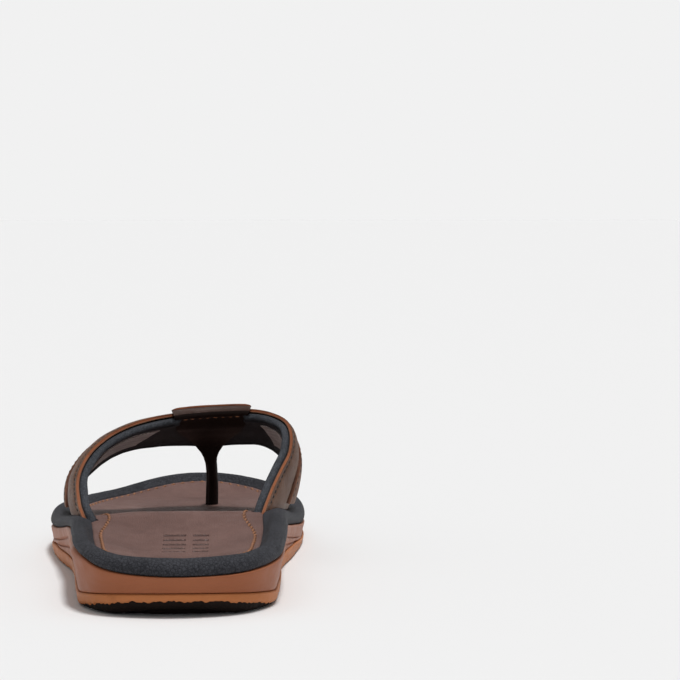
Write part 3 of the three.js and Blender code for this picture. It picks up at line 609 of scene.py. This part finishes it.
def mark_depth(u, v):
    """A generic debossed mark, two columns of plain bars: depth at a place from its centre."""
    pitch = MARK_LENGTH / MARK_ROWS
    gap = np.abs((v + MARK_LENGTH / 2) % pitch - pitch / 2)
    bars = [1 - ease((np.abs(u - centre) - half) / 0.5) for centre, half in MARK_COLUMNS]
    inside = np.abs(v) < MARK_LENGTH / 2
    return inside * np.maximum(*bars) * (1 - ease((gap - 1.1) / 0.6)) * MARK_DEPTH


def press_mark(mesh):
    """Refines the cover's mesh round the heel mark, presses it in and paints it darker: a burnished tone
    with painted shade of the hollow.
    """
    bm = bmesh.new()
    bm.from_mesh(mesh)

    def from_mark(co):
        return co.x / MM - SHIFT[0] - MARK_CENTRE[0], co.y / MM - SHIFT[1] - MARK_CENTRE[1]

    for cuts in (3, 1):
        near = [f for f in bm.faces if f.normal.z > 0.5
                and all(np.abs(from_mark(f.calc_center_median())) < MARK_FINE)]
        edges = list({e for f in near for e in f.edges})
        bmesh.ops.subdivide_edges(bm, edges=edges, cuts=cuts, use_grid_fill=True)
    for v in bm.verts:
        if v.normal.z > 0.2:
            v.co.z -= float(mark_depth(*from_mark(v.co))) * MM
    for f in bm.faces:
        f.smooth = True
        if f.normal.z > 0.2 and mark_depth(*from_mark(f.calc_center_median())) > MARK_DARK:
            f.material_index = 1
    bm.to_mesh(mesh)
    bm.free()


def make_cover():
    ring = Ring(440)
    plan = [ring.inset(COVER_EDGE - 0.9), ring.inset(COVER_EDGE - 0.1)]
    plan += [ring.inset(lerp(COVER_EDGE, ring.seam - 1.5, k)) for k in (0.2, 0.45, 0.7)]
    before = len(plan)
    plan += [ring.inset(ring.seam + offset) for offset, _ in SEAM_GROOVE]
    plan += [lerp(plan[-1], ring.spine, k) for k in np.linspace(0, 1, 40)[1:]]
    points = np.concatenate([plan, cover_z(plan)[..., None]], 2)
    for k, (_, height) in enumerate(SEAM_GROOVE):
        points[before + k, :, 2] += height
    points[0, :, 2] = ring.inner - 1.25
    points[1, :, 2] -= 0.25
    # creases across the foot, deepest on the arch, over broad soft waves
    creases = ripple(points * [0.3, 1.0, 0], 6.0, 2.0) * (0.1 + 0.4 * hump(points[..., 1], 108, 20))
    points[2:, :, 2] += creases[2:]
    points[2:, :, 2] += 0.12 * ripple(points * [1, 1, 0], 24.0, 5.0)[2:]
    under = with_z(ring.spine, cover_z(ring.spine) - 1.3)
    skirt = with_z(plan[0], ring.inner - 2.1)
    obj = loft("leather_footbed", [under, skirt, *points], [COVER_LEATHER, PRESSED_SHADED_LEATHER], sharp=60)
    press_mark(obj.data)
    sole_piece(obj, "footbed_leather", "footbed_cover_heel", "footbed_cover_toe", "footbed_foam_heel",
               "footbed_foam_toe", "insole_board_heel", "insole_board_toe")


def make_cover_stitches():
    ring = Ring(SOLE_STATIONS)
    plan = ring.inset(ring.seam)
    line = with_z(plan, cover_z(plan) - 0.12)
    line = np.vstack([line, line[:1]])
    obj = stitches("cover_stitches", line, (0, 0, 1), 4.6, 2.7, 0.5, TAN_THREAD, 0.14, slant=0.45)
    sole_piece(obj, "tan_thread", "cover_seam_heel", "cover_seam_toe")


# ---- band
# a place on the band is its row along it, t across it from the rear edge, 0 to 1, and w outwards
EDGE_POINTS = 9  # points round the cut edge of a leather strip
rear_curve, front_curve = spline(REAR), spline(FRONT)


def sheet_at(row, t):
    u = np.clip(np.asarray(row, float) / LAST, 0, 1)
    r, f = rear_curve(u), front_curve(u)
    return r + (f - r) * np.asarray(t, float)[..., None]


def band_frame(row, t):
    """A point of the band's middle sheet and its outward direction."""
    row, t = np.broadcast_arrays(np.asarray(row, float), np.asarray(t, float))
    e = 0.05
    du = sheet_at(row + e, t) - sheet_at(row - e, t)
    dt = sheet_at(row, t + e) - sheet_at(row, t - e)
    return sheet_at(row, t), unit(np.cross(du, dt))


def band(row, t, w):
    """A point of the band: row along it, t across it, w mm outwards."""
    p, n = band_frame(row, t)
    c = np.clip(t, 0, 1)
    lift = np.asarray(w, float) + BULGE * (4 * c * (1 - c) - 0.4)
    return p + n * np.broadcast_to(lift, p.shape[:-1])[..., None]


def band_width(row):
    return np.linalg.norm(sheet_at(row, 1.0) - sheet_at(row, 0.0), axis=-1)


def edge_loop(t0, t1, w0, w1, width, across, rounding):
    """Section of a slab with rounded edges: (t, w) pairs and a flag for the cut edge."""
    h, middle = (w1 - w0) / 2, (w0 + w1) / 2
    r = min(rounding, h)

    def swell(angle):
        """Rounded corners, with a fine groove where the two leathers meet."""
        side = math.cos(math.radians(angle)) ** (0.35 if r < h else 1.0)
        return r * (side - 0.75 * hump(angle, 0, 9))

    pairs, cut = [], []
    for start, end, level, way in ((t0, t1, w1, 1), (t1, t0, w0, -1)):
        for t in np.linspace(start, end, across):
            pairs.append((t, level))
            cut.append(False)
        for angle in way * np.linspace(90, -90, EDGE_POINTS + 2)[1:-1]:
            height = h * math.sin(math.radians(angle)) * 0.97
            pairs.append((end + way * swell(angle) / width, middle + height))
            cut.append(abs(angle) < 50)
    return np.array(pairs), np.array(cut)


def strip_mesh(name, rows, t0, t1, w0, w1, materials, across, rounding, wobble, seed, relief):
    """A leather strip that follows the band, t0 to t1 across it and w0 to w1 outwards."""
    rings = []
    for row in rows:
        loop, cut = edge_loop(t0, t1, w0, w1, float(band_width(row)), across, rounding)
        level = loop[:, 1] + relief(loop[:, 0]) * (np.arange(len(loop)) < across)
        rings.append(band(row, loop[:, 0], level))
    rings = np.array(rings)
    outward = np.array([band_frame(row, 0.5)[1] for row in rows])
    rings = rings + outward[:, None] * (ripple(rings, 11.0, seed) * wobble)[..., None]
    count, last = rings.shape[1], len(rings)
    opposite = (count - 1 - EDGE_POINTS - np.arange(count)) % count

    def pick(r, c):
        return (cut[c] & cut[(c + 1) % count] | (r == 0) | (r == last)).astype(int)

    return loft(name, capped(rings, opposite), materials, pick=pick, sharp=60)


def upper_piece(obj, slot_name, *nodes):
    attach(obj, HEEL)
    if nodes:
        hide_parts(*nodes)


ROWS = np.linspace(0, LAST, 170)
REAR_SEAM, OVERLAY_SEAM, EDGE_SEAM = 0.062, 0.565, 0.9
OVERLAY_FROM, OVERLAY_TO = 0.53, 0.94
OVERLAY_TOP = SHELL + 1.55


def shell_relief(t):
    """The leather puffs between its rear seam and the overlay, and dips at the seam."""
    puff = np.sin(math.pi * np.clip((t - REAR_SEAM) / (OVERLAY_FROM - REAR_SEAM), 0, 1)) ** 0.7
    return 0.75 * puff - 0.3 * hump(t, REAR_SEAM, 0.016)


def make_shell():
    obj = strip_mesh("leather_band", ROWS, 0.004, 0.985, 0.15, SHELL, [BAND_LEATHER, RAW_EDGE],
                     across=60, rounding=0.3, wobble=0.2, seed=1.0, relief=shell_relief)
    upper_piece(obj, "band_leather", "band_shell")


def pinch(row, t):
    """The padding is skived thin where the saddle folds over the band's rear edge."""
    across = 1 - ease((np.abs(np.asarray(row, float) - SADDLE_AT) - 0.95) / 0.3)
    return 1 - 0.86 * across * (1 - ease(np.asarray(t, float) / 0.3))


def lining_level(t):
    """Inner face of the padding: full in the middle, thinner towards the front edge."""
    rear = hump(t, 0.075, 0.022)
    front = 1.7 * ease((t - 0.45) / 0.5) + 0.35 * hump(t, 0.93, 0.02)
    return -PAD + rear + front


def make_lining():
    """Padded lining: a pillow with rolled edges, seen inside the band."""
    rear_r, front_r = 1.5, 0.95
    turn = np.radians(np.linspace(105, -75, 14))
    across = np.linspace(0.075, 0.935, 40)
    inside = np.column_stack([across, lining_level(across)])
    behind = np.column_stack([np.linspace(0.92, 0.08, 6), np.full(6, -0.12)])
    rings = []
    for row in ROWS:
        width = float(band_width(row))
        rear = [0.03 - rear_r * np.cos(turn) / width, -1.75 + rear_r * np.sin(turn)]
        front = [0.958 + front_r * np.cos(turn) / width, -1.0 + front_r * np.sin(turn)]
        loop = np.vstack([np.transpose(rear), inside, np.transpose(front)[::-1], behind])
        rings.append(band(row, loop[:, 0], loop[:, 1] * pinch(row, loop[:, 0])))
    rings = np.array(rings)
    # soft swells on the face that shows
    puff = ripple(rings, 9.0, 4.0) * 0.2 + ripple(rings, 3.5, 6.0) * 0.06
    puff[:, :4] = 0
    puff[:, 64:] = 0
    outward = np.array([band_frame(row, 0.5)[1] for row in ROWS])
    rings = capped(rings + outward[:, None] * puff[..., None])
    # the rear roll takes the lighter copy, painted highlight; the rest the darker copy, painted shade
    obj = loft("padded_lining", rings, [LINING_FIBRE_SHADED, ROLL_FIBRE_LIT],
               pick=lambda r, c: (c < len(turn)).astype(int), sharp=75)
    upper_piece(obj, "rim_microfibre", "band_lining", "band_foam")


def overlay_relief(t):
    return 0.5 * np.sin(math.pi * np.clip((t - OVERLAY_SEAM) / 0.28, 0, 1)) ** 0.7


def make_strips():
    for name, lo, hi in (("lateral", 2.6, 8.05), ("medial", 9.6, 14.75)):
        obj = strip_mesh(f"front_overlay_{name}", np.linspace(lo, hi, 60), OVERLAY_FROM, OVERLAY_TO,
                         SHELL + 0.1, OVERLAY_TOP, [OVERLAY_LEATHER, STRIP_LEATHER], across=30,
                         rounding=0.25, wobble=0.15, seed=2.0, relief=overlay_relief)
        upper_piece(obj, "band_leather", f"band_strip_{name}")


def band_stitches(name, lo, hi, t, w, pitch, length, radius, material, *nodes, lift=0.1):
    """Stitches along the band, on its outer face, or on its inner one where w is negative."""
    rows = np.linspace(lo, hi, 160)
    up = band_frame(rows, t)[1] * math.copysign(1, w)
    obj = stitches(name, band(rows, t, w), up, pitch, length, radius, material, lift)
    upper_piece(obj, "tan_thread" if material is TAN_THREAD else "dark_thread", *nodes)


def make_band_stitches():
    thick, thin = 0.42, 0.29
    for name, lo, hi in (("lateral", 2.3, 7.55), ("medial", 10.1, 14.9)):
        band_stitches(f"rear_stitches_{name}", lo, hi, REAR_SEAM, SHELL - 0.2,
                      3.3, 2.4, thin, DARK_THREAD, f"thread_rear_{name}")
    for name, lo, hi in (("lateral", 2.7, 7.75), ("medial", 9.95, 14.6)):
        band_stitches(f"overlay_stitches_{name}", lo, hi, OVERLAY_SEAM, OVERLAY_TOP - 0.23,
                      3.5, 2.6, thick, DARK_THREAD, f"thread_strip_{name}")
        band_stitches(f"overlay_edge_stitches_{name}", lo, hi, EDGE_SEAM, OVERLAY_TOP - 0.2,
                      3.3, 2.4, thin, DARK_THREAD)


def patch(name, rows, ts, top, bottom, materials, rounding, groove=0.0):
    """A closed slab over a grid of band places, with rounded borders and a cut edge."""
    n, m = rows.shape
    i, j = np.meshgrid(np.arange(n), np.arange(m), indexing="ij")
    border = np.minimum(np.minimum(i, n - 1 - i), np.minimum(j, m - 1 - j)) == 0
    face = band(rows, ts, top - rounding * border).reshape(-1, 3)
    back = band(rows, ts, bottom).reshape(-1, 3)
    number = i * m + j
    at = np.concatenate([number[0], number[1:, -1], number[-1, -2::-1], number[-2:0:-1, 0]])
    high, low = face[at], back[at]
    down = low - high
    outward = high - face.mean(0)
    outward = unit(outward - down * ((outward * down).sum(1) / (down ** 2).sum(1))[:, None])
    walls = []
    for k in (0.12, 0.3, 0.42, 0.5, 0.58, 0.7, 0.88):
        swell = rounding * math.sin(math.pi * k) ** 0.5 - groove * hump(k, 0.5, 0.09)
        walls.append(high + down * k + outward * swell)
    faces = []
    for a in range(n - 1):
        for b in range(m - 1):
            quad = [a * m + b, a * m + b + 1, (a + 1) * m + b + 1, (a + 1) * m + b]
            faces += [quad, [q + n * m for q in quad[::-1]]]
    flat, count = len(faces), len(at)
    loops = [at] + [2 * n * m + k * count + np.arange(count) for k in range(len(walls))] + [at + n * m]
    for upper, lower in zip(loops, loops[1:]):
        faces += np.column_stack([upper, np.roll(upper, -1), np.roll(lower, -1), lower]).tolist()
    kinds = [0] * flat + [len(materials) - 1] * (len(faces) - flat)
    return build(name, np.vstack([face, back, *walls]), faces, materials, kinds, sharp=60)


# row and t of each label's corners: two near the band's rear edge, two near its front edge
LABELS = {"lateral": ((5.3, 0.22), (7.1, 0.22), (4.0, 0.8), (6.35, 0.8)),
          "medial": ((10.75, 0.24), (13.0, 0.24), (11.7, 0.8), (13.3, 0.62))}


def make_labels():
    """Woven patches with slanted ends, sewn inside the band."""
    u = np.linspace(0, 1, 34)[:, None]
    v = np.linspace(0, 1, 22)[None]
    for name, corners in LABELS.items():
        rear_a, rear_b, front_a, front_b = (np.array(corner) for corner in corners)
        place = lerp(lerp(rear_a, rear_b, u[..., None]), lerp(front_a, front_b, u[..., None]), v[..., None])
        rows, ts = place[..., 0], place[..., 1]
        back = lining_level(ts) + 0.3
        face = back - 0.85 + 0.05 * np.sin(v * 22 * math.pi)
        obj = patch(f"woven_label_{name}", rows, ts, face, back, [LABEL_CLOTH], -0.15)
        upper_piece(obj, "woven_label", f"label_{name}")


def make_root_welts():
    """A thin rolled lip where each end of the lining passes into the footbed."""
    sides = 12
    around = np.arange(sides) / sides * 2 * math.pi
    for name, guess in (("lateral", 1.9), ("medial", 15.1)):
        rows = np.linspace(guess - 1.9, guess + 1.9, 120)
        line = []
        for t in np.linspace(0.03, 0.9, 40):
            p = band(rows, t, lining_level(t) - 0.3)
            gap = np.abs(p[:, 2] - cover_z(p[:, :2]))
            line.append(p[gap.argmin()])
        line = np.array(line)
        line[:, 2] = cover_z(line[:, :2]) + 0.25
        side = np.cross(unit(np.gradient(line, axis=0)), [0, 0, 1.0])
        share = (np.arange(len(line)) + 0.6) / (len(line) + 0.2)
        size = 0.85 * np.sin(math.pi * share) ** 0.35
        section = side[:, None] * np.cos(around)[:, None] * 1.2 + np.outer(np.sin(around), [0, 0, 1.0])
        rings = capped(line[:, None] + section * size[:, None, None])
        # the lining's darker copy: painted shade
        obj = loft(f"strap_root_welt_{name}", rings, [LINING_FIBRE_SHADED], sharp=75)
        upper_piece(obj, "rim_microfibre")


# ---- saddle and post
PER_ROW = float(np.linalg.norm(sheet_at(SADDLE_AT + 0.5, 0.4) - sheet_at(SADDLE_AT - 0.5, 0.4)))
SADDLE_THICK = 0.9
SADDLE_OUT, SADDLE_IN = SHELL + 0.2, -PAD - 0.2
TONGUE_END = 0.93  # the saddle ends here on top, across the band
LEAVES_AT = 0.84  # the inner strip leaves the band here
HALF_REAR, HALF_FRONT = 15.4, 11.9  # half width of the saddle's top, at its two ends
# half width of the inner strip across the band, and of the post along its path
STRIP_HALF = ((0, 15.4), (0.3, 14.6), (0.5, 12.6), (0.7, 9.3), (LEAVES_AT, 6.8))
POST_HALF = ((1 / 7, 6.6), (0.19, 5.4), (0.24, 3.9), (0.29, 2.95),
             (0.36, 2.5), (0.46, 2.45), (0.62, 2.65), (1, POST_R))
AROUND = np.arange(48) / 48 * 2 * math.pi


def row_near(mm):
    """The row that lies mm along the band from the saddle's centre."""
    return SADDLE_AT + np.asarray(mm, float) / PER_ROW


def inner_level(t):
    """Inner face of the saddle, close to the band's edge where the padding is thin."""
    return SADDLE_IN + 3.0 * (1 - ease(t / 0.3)) + 1.0 * ease((t - 0.45) / 0.4)


def profile(power):
    """A section from a rounded bar, at power 0.22, to a circle, at 1."""
    x, z = np.cos(AROUND), np.sin(AROUND)
    return np.sign(x) * np.abs(x) ** power, np.sign(z) * np.abs(z) ** power


def saddle_rings():
    """Sections over the band's top, round its rear edge and along its inside."""
    flat_x, flat_z = profile(0.22)
    depth = (flat_z * 0.5 + 0.5) * SADDLE_THICK
    rings = []
    for t in np.linspace(TONGUE_END, 0.02, 26):
        rings.append(band(row_near(flat_x * lerp(15.1, 11.0, t)), t, SADDLE_OUT + depth))
    middle, radius = (SADDLE_OUT + inner_level(0)) / 2, (SADDLE_OUT - inner_level(0)) / 2
    for angle in np.radians(np.linspace(80, -80, 13)):
        row = row_near(flat_x * 15.3)
        reach = math.cos(angle) * (radius * 0.45 + depth) + 0.55
        rings.append(band(row, -reach / band_width(row), middle + math.sin(angle) * (radius + depth)))
    for t in np.linspace(0.02, LEAVES_AT, 26):
        half = np.interp(t, *zip(*STRIP_HALF))
        rings.append(band(row_near(flat_x * half), t, inner_level(t) - depth))
    return rings


def post_rings():
    """Sections where the strip leaves the band, curls up and becomes a rolled post."""
    leave = [band(SADDLE_AT, t, inner_level(t) - SADDLE_THICK / 2) for t in (0.78, LEAVES_AT)]
    path = spline([*leave, [POST[0] - 0.5, 216.3, 35.4], [POST[0], 221.2, 29.6], [POST[0] + 0.2, 225, 23.5],
                   [POST[0] + 0.1, 226.8, 17], [*POST, 12.5], [*POST, 7.5]])
    start = POST_HALF[0][0]
    row_way = unit(sheet_at(SADDLE_AT + 0.2, LEAVES_AT) - sheet_at(SADDLE_AT - 0.2, LEAVES_AT))
    rings = []
    for u in np.linspace(start + 0.012, 1.0, 60):
        way = unit(path(min(u + 0.01, 1)) - path(max(u - 0.01, 0)))
        side = lerp(row_way, np.array([1.0, 0, 0]), ease((u - start) / 0.2))
        side = unit(side - way * side.dot(way))
        back = np.cross(way, side)
        roll = ease((u - start) / 0.3)
        x, z = profile(lerp(0.22, 1.0, roll))
        wide = np.interp(u, *zip(*POST_HALF))
        thick = lerp(SADDLE_THICK / 2, 2.5, ease((u - start) / 0.26))
        seam = (1 - 0.1 * hump(AROUND, 2.4, 0.2) * roll)[:, None]
        rings.append(path(u) + (side * x[:, None] * wide + back * z[:, None] * thick) * seam)
    return rings


def make_saddle():
    """One piece of leather: over the band, round its rear edge, and rolled into the post."""
    rings = np.array(saddle_rings() + post_rings())
    rings = rings + (ripple(rings, 6.0, 3.0) * 0.12)[..., None] * [0.3, 0.5, 0.8]
    seam_ring = 33  # brown leather over the top and the fold; from there to the post the same leather is painted near-black, painted shade inside the band
    obj = loft("saddle_and_post", capped(rings, -np.arange(len(AROUND))), [SADDLE_BROWN, SADDLE_SHADED_LEATHER],
               pick=lambda r, c: (r > seam_ring).astype(int), sharp=75)
    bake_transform(obj)
    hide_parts("saddle_wrap", "toe_post", "post_core")


SADDLE_TOP = SADDLE_OUT + SADDLE_THICK + 0.05
BORDER = 2.2  # the saddle's top dips this far in from its edge


def make_saddle_overlay():
    v = np.linspace(0, 1, 46)[None]
    x = np.linspace(-1, 1, 40)[:, None]
    half = lerp(HALF_REAR, HALF_FRONT, v) * (1 - 0.42 * np.clip((v - 0.86) / 0.14, 0, 1) ** 3)
    half = half * (1 - 0.05 * np.clip((0.1 - v) / 0.1, 0, 1) ** 2)
    rows = row_near(x * half)
    ts = lerp(-0.012, TONGUE_END, v) * np.ones_like(rows)
    aside = (1 - np.abs(x)) * half
    border = np.minimum(aside, np.minimum(v, 1 - v) * 38)
    level = (SADDLE_TOP + 1.05 - 0.22 * hump(border, BORDER, 0.5) + 0.35 * ease((border - BORDER) / 5)
             - 0.3 * (1 - ease(aside / BORDER)))
    obj = patch("saddle_top", rows, ts, level, SADDLE_TOP, [SADDLE_BROWN, RAW_EDGE], 0.25, 0.12)
    upper_piece(obj, "saddle_leather", "saddle_overlay")


def make_saddle_stitches():
    """A row inside the fold, and one round the saddle's top."""
    ends = [float(row_near(s * 12.5)) for s in (-1, 1)]
    band_stitches("saddle_stitches", *ends, 0.012, inner_level(0.012) - SADDLE_THICK,
                  3.2, 2.3, 0.3, TAN_THREAD, "saddle_thread", lift=0.05)
    x, near, far = 0.86, 0.05, 0.86
    track = [(-x, t) for t in np.linspace(far, near, 60)] + [(s, near) for s in np.linspace(-x, x, 60)]
    track += [(x, t) for t in np.linspace(near, far, 60)]
    side, t = np.transpose(track)
    rows = row_near(side * lerp(15.2, HALF_FRONT, t / TONGUE_END))
    line, up = band(rows, t, SADDLE_TOP + 0.84), band_frame(rows, t)[1]
    obj = stitches("saddle_top_stitches", line, up, 3.1, 2.3, 0.27, DARK_THREAD, 0.08)
    upper_piece(obj, "saddle_leather")


make_outsole()
make_midsole()
make_rim()
make_cover()
make_cover_stitches()
make_shell()
make_lining()
make_strips()
make_band_stitches()
make_labels()
make_root_welts()
make_saddle()
make_saddle_overlay()
make_saddle_stitches()

# nodes inside the sole stay as they are in the CAD and get their own materials
INNER = {
    "shank": BRUSHED_STEEL, "heel_pad": PLAIN_FOAM, "strap_tab_lateral": WEBBING,
    "strap_tab_medial": WEBBING, "post_anchor": SHADED_TREAD_RUBBER,
}
for node_name, look in INNER.items():
    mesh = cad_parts[node_name].data
    mesh.materials.clear()
    mesh.materials.append(look)


# ---- camera, stage
FLOOR_PAPER = (0.782, 0.782, 0.782)
# a soft box over a pale room: height and brightness, from the horizon to overhead
SKY = ((0.12, 0.88), (0.24, 0.2), (0.7, 0.24), (0.88, 0.7), (1.0, 0.8))
SUN_PLACE, SUN_STRENGTH, SUN_ANGLE = (0.2, -0.2, 1.5), 2.25, math.radians(11)
# the camera beside, behind and above the heel's back, in metres, with the shoe toed out
CAMERA_SIDE, CAMERA_BACK, CAMERA_UP = 0.0578, 0.895, 0.147
TOE_OUT, CAMERA_DIP = math.radians(2.56), math.radians(3.197066)
CAMERA_LENS, SENSOR, CAMERA_SHIFT = 138.01765, 36.0, -0.0044118


def make_stage():
    size = 14.0
    mesh = bpy.data.meshes.new("floor")
    corners = [(-size, -size, 0), (size, -size, 0), (size, size, 0), (-size, size, 0)]
    mesh.from_pydata(corners, [], [(0, 1, 2, 3)])
    mesh.materials.append(Shader("floor_paper").done(FLOOR_PAPER, 0.9, Specular_IOR_Level=0.1))
    add_object("floor", mesh)

    world = bpy.data.worlds.new("studio")
    scene.world = world
    world.use_nodes = True
    nodes, links = world.node_tree.nodes, world.node_tree.links
    place = nodes.new("ShaderNodeTexCoord")
    split = nodes.new("ShaderNodeSeparateXYZ")
    links.new(place.outputs["Generated"], split.inputs[0])
    levels = nodes.new("ShaderNodeValToRGB")
    elements = levels.color_ramp.elements
    for element, (at, value) in zip(elements, (SKY[0], SKY[-1])):
        element.position, element.color = at, (value, value, value, 1)
    for at, value in SKY[1:-1]:
        elements.new(at).color = (value, value, value, 1)
    links.new(split.outputs["Z"], levels.inputs["Fac"])
    links.new(levels.outputs["Color"], nodes["Background"].inputs["Color"])
    nodes["Background"].inputs["Strength"].default_value = 1.0


def aimed(name, data, place, direction):
    """An object at a place, such as a light or a camera, that looks in a direction."""
    obj = add_object(name, data)
    obj.location = place
    obj.rotation_mode = "QUATERNION"
    obj.rotation_quaternion = Vector(direction).to_track_quat("-Z", "Y")
    return obj


def make_sun():
    data = bpy.data.lights.new("key", "SUN")
    data.energy, data.angle = SUN_STRENGTH, SUN_ANGLE
    aimed("key", data, SUN_PLACE, -Vector(SUN_PLACE))


def make_camera():
    turn = Matrix.Rotation(-TOE_OUT, 4, "Z")
    stand = turn @ Vector((CAMERA_SIDE, -CAMERA_BACK, CAMERA_UP))
    place = stand + Vector(SHIFT) * MM
    data = bpy.data.cameras.new("camera")
    data.sensor_width, data.lens, data.shift_x = SENSOR, CAMERA_LENS, CAMERA_SHIFT
    ahead = turn @ Vector((0, math.cos(CAMERA_DIP), -math.sin(CAMERA_DIP)))
    bpy.context.scene.camera = aimed("camera", data, place, ahead)


make_stage()
make_camera()
make_sun()
scene.view_settings.view_transform = "Standard"
